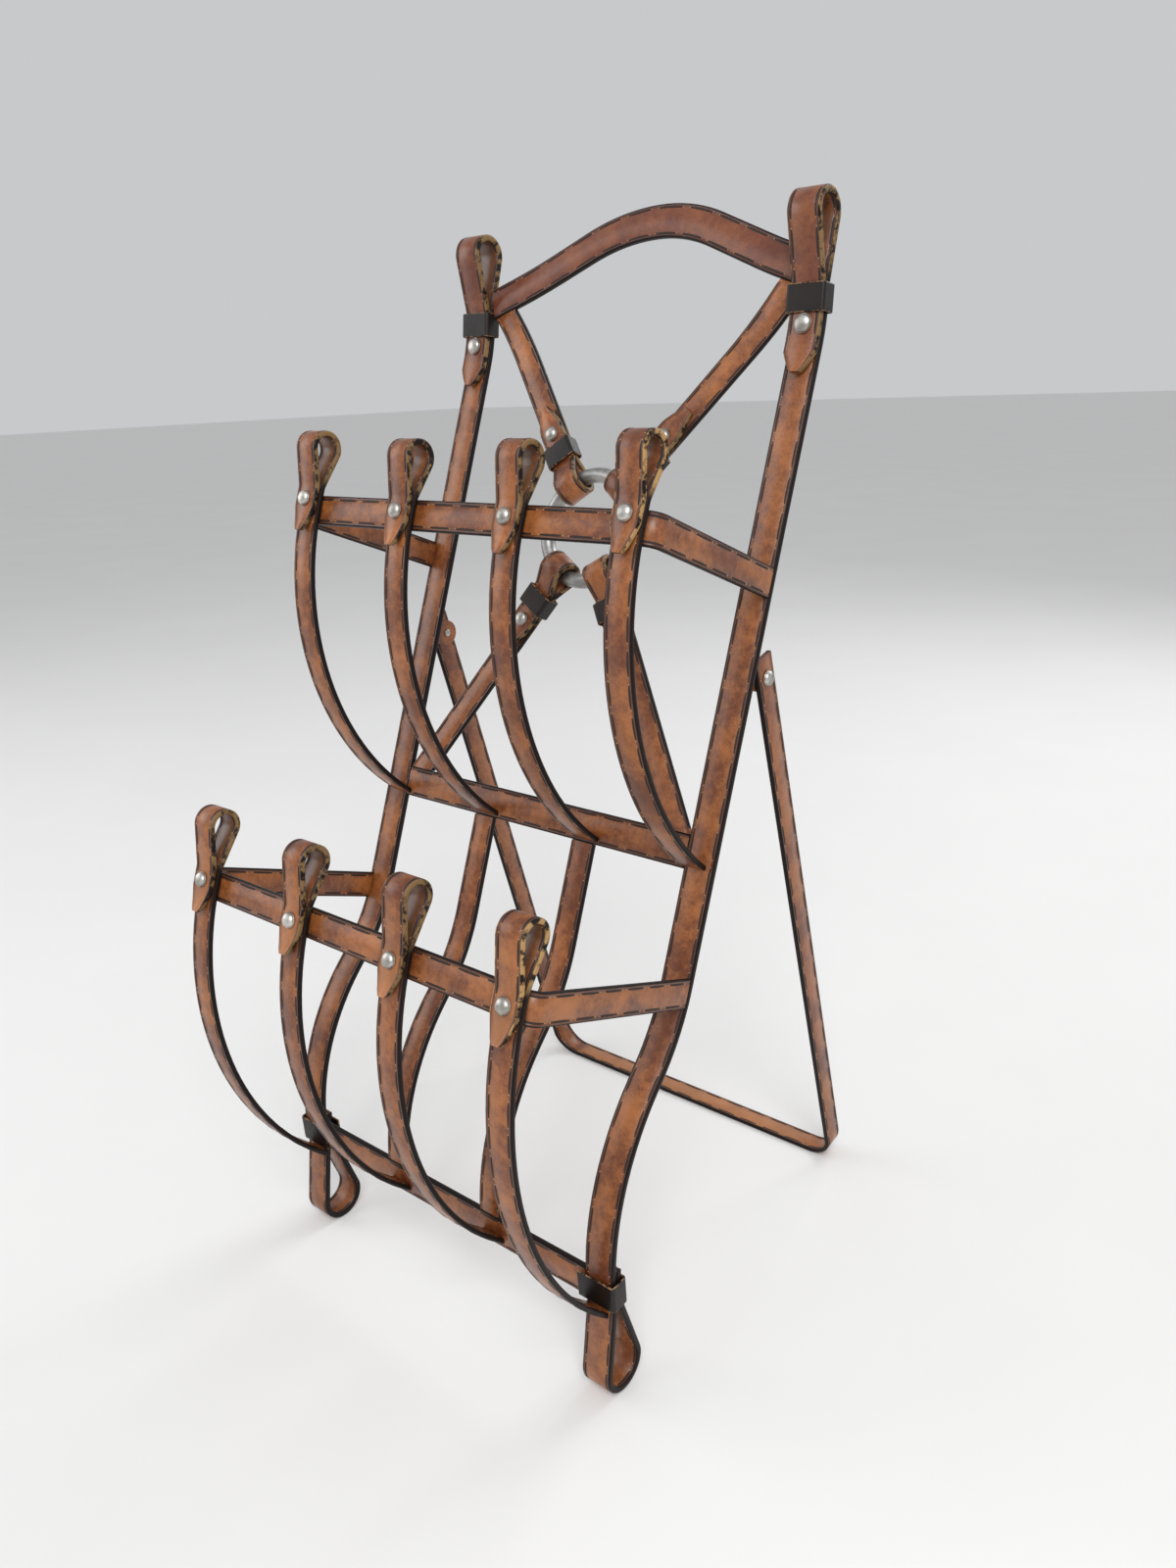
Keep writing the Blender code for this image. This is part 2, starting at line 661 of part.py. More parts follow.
def build_baskets(core, room):
    thickness = THICK + 2 * GAP
    beside = [
        strip(f"room for {name} upright", side_points(UPRIGHT_FRONT, side * UPRIGHT_X), ACROSS,
              2 * PAST, thickness)
        for name, side in SIDES.items()
    ]
    foot, _ = crossbars()["bottom_crossbar"]
    behind = {
        "upper": box("behind the middle crossbar", (-FAR, -2 * PAST, -PAST),
                     (FAR, PAST, thickness / 2), PANEL),
        "lower": box("behind the bottom crossbar",
                     foot + Vector((-INNER_X, -thickness / 2, -PAST)),
                     foot + Vector((INNER_X, PAST, 2 * PAST))),
    }
    round_top = [(RIB_LOOP_BASE, 0), *tip_stretches(RIB_TIP)]
    grip = 3 * THIN + GAP + RAIL_PLAY
    for label, basket in (("upper", UPPER), ("lower", LOWER)):
        rail = strip(f"{label}_front_rail", rail_path(basket), Vector((0, 1, 0)), SLIM, THIN,
                     LEATHER, PANEL)
        cut(rail, *beside, room)
        over = loop(RIB_LOOP_RADIUS, basket["loop"], SLIM_HALF_STACK, 1)
        for number, (x, lift) in enumerate(basket["ribs"], 1):
            path = rib_path(basket, x, [(lift + RIB_LOOP_BASE, 0), *over, *round_top])
            widths = tapered(len(path), SLIM)
            name = f"{label}_rib_{number}"
            rib = strip(name, side_points(path, x), ACROSS, widths, THIN, LEATHER)
            on_foot = basket is LOWER and abs(x) > SLAT_X + SLIM / 2
            cut(rib, *(beside if on_foot else [behind[label]]), room)
            out = rib_out(basket) + 1.5 * THIN + GAP - grip / 2
            place = axes(Vector((x, basket["up"] + lift, out)), ACROSS, Vector((0, 0, 1)))
            rivet(f"{name}_rivet", place, grip, DOME_RADIUS, [rib, rail, core], PANEL)


def build_tab(name, side):
    """A leather-covered steel tab behind an upright, which ends round about the leg's pivot."""
    root = -FRAME_GAUGE / 2 - GAP
    outline = [(PIVOT_UP - TAB_RADIUS, root), (PIVOT_UP + TAB_RADIUS, root)]
    for degrees in range(0, -181, -TAB_STEP):
        angle = math.radians(degrees)
        up = PIVOT_UP + TAB_RADIUS * math.cos(angle)
        outline.append((up, PIVOT_OUT + TAB_RADIUS * math.sin(angle)))
    shape = bpy.data.curves.new(f"{name}_hinge_tab", "CURVE")
    shape.dimensions = "2D"
    shape.fill_mode = "BOTH"
    shape.extrude = TAB_THICK / 2
    bore = [math.radians(degrees) for degrees in range(0, 360, 360 // HOLE_STEPS)]
    bore = [(PIVOT_UP + HOLE_RADIUS * math.cos(a), PIVOT_OUT + HOLE_RADIUS * math.sin(a))
            for a in bore]
    for dots in (outline, bore):
        spline = shape.splines.new("POLY")
        spline.points.add(len(dots) - 1)
        spline.use_cyclic_u = True
        for dot, (up, out) in zip(spline.points, dots):
            dot.co = (up, out, 0, 1)
    tab = add(f"{name}_hinge_tab", shape, LEATHER, PANEL)
    tab.matrix_local = axes(Vector((side * TAB_X, 0, 0)), Vector((0, 1, 0)), ACROSS)
    tab.modifiers.new("close", "WELD").merge_threshold = 0.00001


def build_leg():
    leg = strip("rear_leg", *leg_path(LEG_ABOVE), SLIM, THIN, LEATHER, LEG)
    steel, above = SLIM - 2 * SEAM, LEG_ABOVE - CORE_INSET
    core = strip("leg_core", *leg_path(above), steel, SLIM_GAUGE, IRON, LEG)
    room = strip("room for leg core", *leg_path(above + TWIST_PLAY), steel + 2 * TWIST_PLAY,
                 SLIM_GAUGE + 2 * TWIST_PLAY, None, LEG)
    cut(leg, room)
    for name, side in SIDES.items():
        build_tab(name, side)
        bore = axes(Vector((side * LEG_X, 0, 0)), Vector((0, 0, -side)), ACROSS * side)
        for part in (leg, core):
            cut(part, hole(f"{name} pin hole in {part.name}", bore, LEG))
        inside, outside = TAB_X - TAB_THICK / 2, LEG_X + THIN / 2
        middle = PIVOT + ACROSS * side * (inside + outside) / 2
        place = axes(middle, Vector((0, 0, -side)), ACROSS * side)
        rivet(f"{name}_hinge_pin", place, outside - inside, DOME_RADIUS, [])


def build_ring():
    shape = bmesh.new()
    bmesh.ops.create_circle(shape, segments=ROUND_STEPS, radius=RING_BAR)
    bmesh.ops.rotate(shape, matrix=Matrix.Rotation(math.pi / 2, 3, "X"), verts=shape.verts)
    bmesh.ops.translate(shape, vec=(RING_RADIUS, 0, 0), verts=shape.verts)
    ring = add("ring", mesh_from(shape, "ring"), RING_STEEL, PANEL)
    ring.location = (0, RING_UP, SLIM_HALF_STACK)
    turn(ring, RING_STEPS)


def build():
    core = skeleton("frame_core", IRON)
    room = skeleton("room for frame core", play=GAP)
    keepers = [keeper_room(side) for side in SIDES.values()]
    cut(core, *keepers)
    outside = [
        box("left of the panel", (-FAR, -FAR, 0), (-INNER_X, FAR, 1)),
        box("right of the panel", (INNER_X, -FAR, 0), (FAR, FAR, 1)),
        *keepers,
    ]
    build_uprights(core, room)
    build_crosswise(room, outside)
    build_straps(core, room, outside)
    build_baskets(core, room)
    build_leg()
    build_ring()


build()
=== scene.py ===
"""Magazine rack: stitched leather over flat steel bar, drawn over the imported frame."""

import math

import bmesh
import bpy
from mathutils import Matrix, Vector


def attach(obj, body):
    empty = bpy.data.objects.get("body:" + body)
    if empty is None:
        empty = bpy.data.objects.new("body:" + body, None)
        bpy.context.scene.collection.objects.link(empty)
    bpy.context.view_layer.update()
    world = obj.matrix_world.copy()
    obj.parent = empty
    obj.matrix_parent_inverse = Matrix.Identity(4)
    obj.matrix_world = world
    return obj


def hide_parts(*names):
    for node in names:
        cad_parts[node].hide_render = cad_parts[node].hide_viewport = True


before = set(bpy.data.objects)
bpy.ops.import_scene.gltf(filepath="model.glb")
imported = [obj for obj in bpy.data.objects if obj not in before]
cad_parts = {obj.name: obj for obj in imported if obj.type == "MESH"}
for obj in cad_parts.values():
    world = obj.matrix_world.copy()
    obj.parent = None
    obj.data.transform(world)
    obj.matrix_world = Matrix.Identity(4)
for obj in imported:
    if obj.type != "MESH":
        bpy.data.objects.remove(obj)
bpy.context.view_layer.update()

# Leather-covered bar
WIDE, THICK = 0.025, 0.0055  # panel frame
SLIM, THIN = 0.022, 0.0045  # ribs, slats, rails, ring straps and leg
GAP = 0.0003  # between pieces that touch

# Panel: local X across, local Y up the lean, local Z out of its front
LEAN = math.radians(21.4)
PANEL_HEIGHT = 0.378  # middle of the middle crossbar
UPRIGHT_X = 0.158
INNER_X = UPRIGHT_X - WIDE / 2 - GAP  # where crosswise pieces end

# Upright, downwards from its straight part
STRAIGHT_LOW = 0.292
KICK = [(0.0657, 23.6), (0.014, 0), (0.1594, -50)]  # (length, turn in degrees)
FOOT_RADIUS = 0.01725
TUCK = 0.026  # foot strap tucked up behind the keeper

# Upright, upwards
STRAIGHT = 0.4545
CREST = (0.043, -18.4)
TOP_LOOP_RADIUS, TOP_LOOP_HEIGHT = 0.0135, 0.046
TOP_RIVET_Z, TOP_TIP_Z = 0.7300, 0.700
TOP_KEEPER_Z = 0.7480
TIP_SHARES = (0.72, 0.28)  # of a tip's length: where it narrows, and the rest
PANEL_PAST_LOOP = 0.08  # how far the panel's surface goes on behind the top loop
CREST_PLAY = 0.0006  # under the flat of the top rivets, where the strap is bent

# Arch between the uprights, from its crest outwards
ARCH_CREST, ARCH_TOP = 0.018, 0.8245
ARCH_LEFT = [(0.067, 23), (0.035, 0), (0.050, -5), (0.022, 0)]
ARCH_RIGHT = [(0.054, 24), (0.050, 0), (0.035, -6), (0.015, 0)]

# Ring and its straps
RING_RADIUS, RING_BAR = 0.042, 0.006
RING_UP = 0.228  # above the middle crossbar, along the panel
STRAP_LOOP_RADIUS, STRAP_LOOP_BASE = 0.011, 0.064
STRAP_KEEPER, STRAP_RIVET, STRAP_TIP = 0.072, 0.091, 0.117
RING_CORNERS = {  # of the panel, from the ring's centre
    "upper_left": (-0.133, 0.180),
    "upper_right": (0.140, 0.1755),
    "lower_left": (-0.133, -0.215),
    "lower_right": (0.133, -0.215),
}
ARCH_LAP = 0.016  # of the upper straps past that corner, before the arch trims them
ARCH_CUT = 0.030  # how far the cutter over the arch goes on above it
STRAP_EDGE = INNER_X - 0.010  # where a ring strap's stitches stop
FAR = 0.3  # beyond the rack

# Crossbars and slats
FOOT_BAR_Z = 0.0925
SLAT_X = 0.052

# Baskets: the rail's distance up the panel and its reach, and the height of the ribs' loops
RAIL_OUT, RAIL_CORNER, RAIL_PLAY = 0.1705, 0.009, 0.0010
RIB_LOOP_RADIUS, RIB_LOOP_BASE, RIB_TIP = 0.0110, 0.0085, 0.0245
UPPER_RIB_END, INNER_RIB_END, OUTER_RIB_END = -0.009, 0.0845, 0.0710
UPPER_RIBS = [(-0.151, 0.006), (-0.048, 0), (0.056, 0), (0.153, 0.006)]  # (x, lift of the rivet)
LOWER_RIBS = [(-0.155, 0.004), (-0.048, 0), (0.055, 0), (0.155, 0)]
UPPER = {"up": 0.197, "reach": 0.1465, "loop": 0.0305, "ribs": UPPER_RIBS}
LOWER = {"up": -0.098, "reach": 0.172, "loop": 0.0345, "ribs": LOWER_RIBS}

# Rear leg
PIVOT = Vector((0, 0.0695, 0.494))
LEG_X = 0.16575
LEG_FOOT_Y = 0.2095
LEG_CORNER = 0.024
LEG_ABOVE = 0.0165
TAB_X, TAB_THICK = 0.1607, 0.005

# Fasteners and keepers
DOME_RADIUS, TOP_DOME_RADIUS, DOME_HEIGHT = 0.006, 0.007, 0.0042
SHANK_RADIUS = 0.002
KEEPER_WALL, KEEPER_PLAY, FLAP = 0.002, 0.0008, 0.003
KEEPER_HEIGHT, STRAP_KEEPER_HEIGHT, FOOT_KEEPER_HEIGHT = 0.019, 0.017, 0.022
FOOT_KEEPER_Z = 0.091
KEEPER_CORNER = 0.002
STACK_SPAN = 0.008  # of a curved strap that a keeper or rivet lies square to
# (radius as a share of the shank's, depth) of a rivet's clenched tail
TAIL = [(1, 0), (1.6, 0), (1.55, 0.0006), (1.3, 0.0011)]
TAIL_END = 0.0012
# (radius as a share of the dome's, height) of the rim round a dome
RIM = [(0.97, 0.0009), (1, 0.0006), (0.99, 0.0001)]
DOME_SHARE, DOME_BASE = 0.93, 0.0008  # the dome inside its rim
DOME_STEPS, RIVET_AROUND, RING_AROUND, BAR_AROUND = 9, 28, 96, 24

ACROSS = Vector((1, 0, 0))
SIDES = {"left": -1, "right": 1}
CHORD_ERROR, MOST_STEP = 0.00004, math.radians(5)


# Paths: headings are measured from the second axis towards the first


def trace(start, heading, stretches):
    """Points along smooth stretches of (length, turn in degrees), and the heading at the end."""
    points = [Vector(start)]
    for length, turn in stretches:
        angle = math.radians(turn)
        steps = 1
        if turn:
            step = min(MOST_STEP, 2 * math.acos(1 - CHORD_ERROR * abs(angle) / length))
            steps = math.ceil(abs(angle) / step)
        half = angle / steps / 2
        chord = length / steps * (math.sin(half) / half if half else 1)
        for _ in range(steps):
            heading += half
            points.append(points[-1] + chord * Vector((math.sin(heading), math.cos(heading))))
            heading += half
    return points, heading


def loop(radius, height, half_stack, side):
    """Stretches of a teardrop loop that leaves one layer of a strap and comes back along the
    other. Its round end is centred height above the stack; side is +1 if it leaves to the right."""
    bend = radius  # where it leaves the stack
    reach = math.hypot(half_stack + bend, height)
    spread = math.atan2(height, half_stack + bend) - math.acos((radius + bend) / reach)
    straight = (height - (radius + bend) * math.sin(spread)) / math.cos(spread)
    degrees = math.degrees(spread) * side
    leave = (bend * spread, degrees)
    over = (radius * (math.pi + 2 * spread), -180 * side - 2 * degrees)
    return [leave, (straight, 0), over, (straight, 0), leave]


def clip(points, low, high):
    """The stretch of a downward path between two heights of its second coordinate."""
    kept = []
    for a, b in zip(points, points[1:]):
        if a[1] < low or b[1] > high:
            continue
        top = a.lerp(b, max(0, (a[1] - high) / (a[1] - b[1])))
        end = a.lerp(b, min(1, (a[1] - low) / (a[1] - b[1])))
        kept += [top, end] if not kept else [end]
    return kept


def side_points(points, x):
    return [Vector((x, *p)) for p in points]


def lean_point(up, out):
    """A point of the panel's side view, from its distances up the panel and out of its front."""
    return Vector((0, PANEL_HEIGHT)) + Matrix.Rotation(-LEAN, 2) @ Vector((-out, up))


def axes(origin, x, z):
    """The place with this origin, local X and local Z."""
    turned = Matrix((x, z.cross(x), z)).transposed().to_4x4()
    return Matrix.Translation(origin) @ turned


# Side views, as (distance back, height)


HALF_STACK, SLIM_HALF_STACK = (THICK + GAP) / 2, (THIN + GAP) / 2
KNEE = Vector(((STRAIGHT_LOW - PANEL_HEIGHT) * math.tan(LEAN), STRAIGHT_LOW))


def foot_stretches():
    """The foot loop below an upright's kick, and its end tucked behind the upright."""
    points, heading = trace(KNEE, math.pi + LEAN, KICK)
    lean = heading - math.pi
    drop = points[-1].y - FOOT_RADIUS - THICK / 2 - HALF_STACK * math.sin(lean)
    length, turned = KICK[-1]
    tuck_radius = length / math.radians(abs(turned)) - 2 * HALF_STACK
    tuck = (TUCK, math.degrees(TUCK / tuck_radius))
    return loop(FOOT_RADIUS, drop / math.cos(lean), HALF_STACK, 1), tuck


RISE = [(STRAIGHT, 0), CREST]
TOP_LOOP = loop(TOP_LOOP_RADIUS, TOP_LOOP_HEIGHT, HALF_STACK, 1)
FOOT_LOOP, FOOT_TUCK = foot_stretches()


def upward(below, above):
    """A side view of an upright through the foot of its straight part."""
    down, _ = trace(KNEE, math.pi + LEAN, below)
    up, heading = trace(KNEE, LEAN, above)
    return down[:0:-1] + up, heading


UPRIGHT_FRONT, _ = upward(KICK + FOOT_LOOP[:2], RISE)


def upright_path():
    """An upright from its tucked foot end to its tip."""
    length, turned = CREST
    crest_back = (length + 2 * HALF_STACK * math.radians(turned), -turned)
    path, heading = upward(KICK + FOOT_LOOP + [FOOT_TUCK], RISE + TOP_LOOP + [crest_back])
    tip = (path[-1].y - TOP_TIP_Z) / math.cos(heading - math.pi)
    ending, _ = trace(path[-1], heading, tip_stretches(tip))
    return path + ending[1:]


def tip_stretches(length):
    return [(share * length, 0) for share in TIP_SHARES]


def height_on(points, height):
    """The point at a height of an upward side view."""
    for a, b in zip(points, points[1:]):
        if a.y <= height <= b.y:
            return a.lerp(b, (height - a.y) / (b.y - a.y))
    return points[0]


def arc_to(start, heading, end):
    """The single arc that leaves a point at a heading and reaches another point."""
    chord = end - start
    ahead = Vector((math.sin(heading), math.cos(heading)))
    aside = Vector((ahead.y, -ahead.x))
    turned = 2 * math.atan2(chord.dot(aside), chord.dot(ahead))
    return chord.length / (2 * math.sin(turned / 2)) * turned, math.degrees(turned)


def rib_out(basket):
    """How far the middle of a rib's inner layer stands out of the panel."""
    return basket["reach"] + THIN + RAIL_PLAY


def rib_end(basket, x):
    """Where a rib meets the crossbar or the foot behind it."""
    if basket is UPPER:
        return lean_point(UPPER_RIB_END, 0)
    if abs(x) > SLAT_X + SLIM / 2:
        return height_on(UPRIGHT_FRONT, OUTER_RIB_END)
    return Vector((height_on(UPRIGHT_FRONT, FOOT_BAR_Z).x, INNER_RIB_END))


def rib_path(basket, x, above):
    """A rib from its end at the panel up to its rail, and on by some stretches."""
    middle = lean_point(basket["up"], rib_out(basket))
    down, _ = trace(middle, math.pi + LEAN, [arc_to(middle, math.pi + LEAN, rib_end(basket, x))])
    up, _ = trace(middle, LEAN, above)
    return down[:0:-1] + up


# The panel's surface: the side view of an upright, carried straight on behind the top loop


class Surface:
    def __init__(self, points):
        self.points = points
        lengths = [(b - a).length for a, b in zip(points, points[1:])]
        middle = (Vector((0, PANEL_HEIGHT)) - points[0]).length
        self.marks = [sum(lengths[:i]) - middle for i in range(len(points))]

    def frame(self, x, up, out=0.0):
        """The point at a distance above the middle crossbar, the direction up the surface there
        and the one out of its front."""
        index = sum(mark <= up for mark in self.marks[1:-1])
        foot, head = self.points[index : index + 2]
        way = (head - foot).normalized()
        point = foot + way * (up - self.marks[index])
        front = Vector((0, -way.y, way.x))
        return Vector((x, *point)) + front * out, Vector((0, *way)), front

    def up_at(self, height):
        """The distance above the middle crossbar at a height."""
        point = height_on(self.points, height)
        index = sum(p.y <= height for p in self.points[1:-1])
        return self.marks[index] + (point - self.points[index]).length

    def folds(self, low, high):
        return [mark for mark in self.marks if low < mark < high]


SURFACE = Surface(trace(KNEE, LEAN, RISE + [TOP_LOOP[0], (PANEL_PAST_LOOP, 0)])[0])


# Stations of the other bars, each with the direction across it where that changes


def rail_path(basket):
    """A rail in the panel's own axes."""
    side = RAIL_OUT - THIN / 2
    arm, corner = (basket["reach"] - RAIL_CORNER, 0), (RAIL_CORNER * math.pi / 2, 90)
    flat, _ = trace((-side, 0), 0, [arm, corner, (2 * (side - RAIL_CORNER), 0), corner, arm])
    return [Vector((x, basket["up"], out)) for x, out in flat]


def arch_path():
    _, rise, _ = SURFACE.frame(0, SURFACE.marks[-1])
    crest = Vector((ARCH_CREST, SURFACE.up_at(ARCH_TOP - rise.z * WIDE / 2)))
    right, _ = trace(crest, math.pi / 2, ARCH_RIGHT)
    left, _ = trace((0, 0), math.pi / 2, ARCH_LEFT)
    flat = [crest + Vector((-x, up)) for x, up in left[:0:-1]] + right
    ways = [(b - a).normalized() for a, b in zip(flat[:1] + flat, flat[1:] + flat[-1:])]
    points = [SURFACE.frame(x, up)[0] for x, up in flat]
    return points, [way.x * rise - way.y * ACROSS for way in ways]


def strap_path(corner, end, inner):
    """A ring strap from a distance up the panel inwards, where its last stations are given as
    (distance out of the surface, distance from the ring's centre). The others lie along the
    surface's folds, so the direction across them is slanted and longer."""
    length = math.hypot(*corner)
    aside, rising = corner[0] / length, corner[1] / length
    low, high = sorted((RING_UP, end))
    bends = [(up - RING_UP) / rising for up in (*SURFACE.folds(low, high), end)]
    points, across = [], []
    for r in sorted(bends, reverse=True):
        points.append(SURFACE.frame(r * aside, RING_UP + r * rising)[0])
        across.append(ACROSS / rising)
    for out, r in inner:
        point, rise, _ = SURFACE.frame(r * aside, RING_UP + r * rising, out)
        points.append(point)
        across.append(rising * ACROSS - aside * rise)
    return points, across


def slat_path(x, top, bottom):
    """A back slat from a distance up the panel down to a height."""
    below = clip(UPRIGHT_FRONT[::-1], bottom, lean_point(top, 0).y)
    return side_points(below, x)


def leg_path(above):
    """The leg about its pivot, from left to right; its foot lies flat on the floor."""
    drop = PIVOT.z - THIN / 2
    lean = math.atan2(LEG_FOOT_Y - PIVOT.y, drop)
    reach = drop / math.cos(lean)
    side, corner = (above + reach - LEG_CORNER, 0), (LEG_CORNER * math.pi / 2, -90)
    foot = (2 * (LEG_X - LEG_CORNER), 0)
    points, across = [], []
    for x, up in trace((-LEG_X, above), math.pi, [side, corner, foot, corner, side])[0]:
        leaning = lean * min(1, (up + reach) / LEG_CORNER)
        points.append(Vector((x, -up * math.sin(lean), up * math.cos(lean))))
        across.append(Vector((0, math.cos(leaning), math.sin(leaning))))
    return points, across


# Places of the small parts


def stack_place(points, height, x, behind=False, keeper_axes=True):
    """The middle of a two-layer stack on a side view: for a keeper local Z runs up the strap,
    and for a rivet it points out of the front."""
    low, high = (height_on(points, height + side * STACK_SPAN / 2) for side in (-1, 1))
    way = (high - low).normalized()
    rise, front = Vector((0, *way)), Vector((0, -way.y, way.x))
    middle = Vector((x, *height_on(points, height))) + front * HALF_STACK * (-1 if behind else 1)
    return axes(middle, ACROSS, rise if keeper_axes else front)


def strap_place(corner, distance, keeper_axes=True):
    """The same for a ring strap, in the panel's own axes."""
    along, front = Vector((*corner, 0)).normalized(), Vector((0, 0, 1))
    middle = Vector((0, RING_UP, SLIM_HALF_STACK)) + along * distance
    return axes(middle, along.cross(front), along if keeper_axes else front)


def crossbars():
    """The middle of each crossbar, and the direction across its width."""
    rise = Vector((0, math.sin(LEAN), math.cos(LEAN)))
    foot = height_on(UPRIGHT_FRONT, FOOT_BAR_Z)
    return {
        "mid_crossbar": (Vector((0, 0, PANEL_HEIGHT)), rise),
        "bottom_crossbar": (Vector((0, *foot)), Vector((0, 0, 1))),
    }


# Materials


MIX_FACTOR, MIX_A, MIX_B, MIX_RESULT = 0, 6, 7, 2  # sockets of a Mix node that mixes colours


def nodes_of(name):
    made = bpy.data.materials.new(name)
    made.use_nodes = True
    tree = made.node_tree
    shader = tree.nodes["Principled BSDF"]
    return made, tree, shader


def feed(tree, slot, value):
    """Link a socket to an input, or set the input's own value."""
    if isinstance(value, bpy.types.NodeSocket):
        tree.links.new(value, slot)
    else:
        slot.default_value = value


def node(tree, kind, **inputs):
    made = tree.nodes.new(kind)
    for key, value in inputs.items():
        feed(tree, made.inputs[key], value)
    return made


def noise(tree, where, scale, detail=4.0, roughness=0.55):
    made = node(tree, "ShaderNodeTexNoise", Vector=where, Scale=scale, Detail=detail,
                Roughness=roughness)
    return made.outputs["Fac"]


def calc(tree, operation, a, b):
    made = tree.nodes.new("ShaderNodeMath")
    made.operation = operation
    feed(tree, made.inputs[0], a)
    feed(tree, made.inputs[1], b)
    return made.outputs[0]


def times(tree, a, b):
    return calc(tree, "MULTIPLY", a, b)


def plus(tree, a, b):
    return calc(tree, "ADD", a, b)


def shifted(tree, value, by, share):
    """A value moved up and down by a share of some noise."""
    return plus(tree, value, times(tree, calc(tree, "SUBTRACT", by, 0.5), share))


def ramp(tree, value, low, high):
    """0 at the low value, 1 at the high one."""
    made = tree.nodes.new("ShaderNodeMapRange")
    made.interpolation_type = "SMOOTHSTEP"
    feed(tree, made.inputs["Value"], value)
    feed(tree, made.inputs["From Min"], low)
    feed(tree, made.inputs["From Max"], high)
    return made.outputs["Result"]


def mix(tree, factor, a, b):
    """The colour a where the factor is 0, and b where it is 1."""
    made = tree.nodes.new("ShaderNodeMix")
    made.data_type = "RGBA"
    feed(tree, made.inputs[MIX_FACTOR], factor)
    for index, colour in ((MIX_A, a), (MIX_B, b)):
        feed(tree, made.inputs[index], (*colour, 1) if isinstance(colour, tuple) else colour)
    return made.outputs[MIX_RESULT]


def bump(tree, shader, height, strength, distance):
    made = node(tree, "ShaderNodeBump", Height=height, Strength=strength, Distance=distance)
    tree.links.new(made.outputs["Normal"], shader.inputs["Normal"])


def attribute(tree, name):
    made = tree.nodes.new("ShaderNodeAttribute")
    made.attribute_name = name
    return made.outputs["Fac"]


def leather():
    """Waxed saddle leather, mottled, darker towards its painted edges. Each strap gives its own
    tone, from -1 for dark to 1 for pale, and where its cut edge is worn and its lining shows."""
    made, tree, shader = nodes_of("saddle_leather")
    where = tree.nodes.new("ShaderNodeTexCoord").outputs["Object"]
    across, tone = attribute(tree, "across"), attribute(tree, "tone")
    raw, lining = attribute(tree, "raw"), attribute(tree, "lining")
    cloudy, fine = noise(tree, where, 26.0, 5.0), noise(tree, where, 150.0, 6.0, 0.65)
    streaks, specks = noise(tree, where, 60.0, 3.0), noise(tree, where, 520.0, 4.0, 0.7)

    mottled = plus(tree, times(tree, cloudy, 0.62), times(tree, fine, 0.38))
    mottled = ramp(tree, shifted(tree, mottled, specks, 0.22), 0.36, 0.66)
    colour = mix(tree, mottled, (0.125, 0.031, 0.009), (0.400, 0.135, 0.032))
    pale = times(tree, ramp(tree, tone, 0.0, 1.0), 0.75)
    colour = mix(tree, pale, colour, (0.50, 0.215, 0.085))
    dark = times(tree, ramp(tree, times(tree, tone, -1.0), 0.0, 1.0), 0.8)
    colour = mix(tree, dark, colour, (0.140, 0.034, 0.022))
    shaded = ramp(tree, shifted(tree, across, streaks, 0.35), 0.50, 1.0)
    colour = mix(tree, times(tree, shaded, 0.55), colour, (0.050, 0.012, 0.006))
    inside = times(tree, lining, ramp(tree, streaks, 0.30, 0.55))
    colour = mix(tree, times(tree, inside, 0.65), colour, (0.105, 0.052, 0.024))

    edge = shifted(tree, across, fine, 0.10)
    stained, paint = ramp(tree, edge, 0.75, 0.83), ramp(tree, edge, 0.885, 0.915)
    colour = mix(tree, times(tree, stained, 0.55), colour, (0.030, 0.009, 0.005))
    patches = ramp(tree, plus(tree, fine, times(tree, streaks, 0.5)), 0.66, 0.80)
    cut_edge = mix(tree, times(tree, raw, patches), (0.010, 0.006, 0.005), (0.42, 0.25, 0.10))
    feed(tree, shader.inputs["Base Color"], mix(tree, paint, colour, cut_edge))

    gloss = plus(tree, 0.24, times(tree, fine, 0.34))
    feed(tree, shader.inputs["Roughness"], plus(tree, gloss, times(tree, tone, 0.10)))
    plain = calc(tree, "SUBTRACT", 1.0, paint)
    feed(tree, shader.inputs["Coat Weight"], times(tree, plain, 0.20))
    feed(tree, shader.inputs["Coat Roughness"], 0.22)
    feed(tree, shader.inputs["Specular IOR Level"], plus(tree, 0.15, times(tree, plain, 0.35)))

    pores = node(tree, "ShaderNodeTexVoronoi", Vector=where, Scale=1150.0).outputs["Distance"]
    creases = noise(tree, where, 420.0, 3.0, 0.7)
    grain = plus(tree, times(tree, pores, 0.55), fine)
    bump(tree, shader, plus(tree, grain, times(tree, creases, 0.7)), 0.35, 0.0004)
    return made


def black_leather():
    """Smooth black keeper leather with tan raw edges."""
    made, tree, shader = nodes_of("keeper_black")
    where = tree.nodes.new("ShaderNodeTexCoord").outputs["Object"]
    fine, cloudy = noise(tree, where, 330.0, 5.0), noise(tree, where, 45.0)
    faded = ramp(tree, cloudy, 0.35, 0.7)
    colour = mix(tree, faded, (0.005, 0.0035, 0.003), (0.013, 0.008, 0.006))
    edge = ramp(tree, attribute(tree, "across"), 0.92, 0.97)
    tan = times(tree, edge, ramp(tree, fine, 0.42, 0.62))
    colour = mix(tree, times(tree, tan, 0.9), colour, (0.36, 0.20, 0.10))
    feed(tree, shader.inputs["Base Color"], colour)
    feed(tree, shader.inputs["Roughness"], plus(tree, 0.34, times(tree, fine, 0.25)))
    feed(tree, shader.inputs["Specular IOR Level"], 0.35)
    bump(tree, shader, fine, 0.25, 0.0003)
    return made


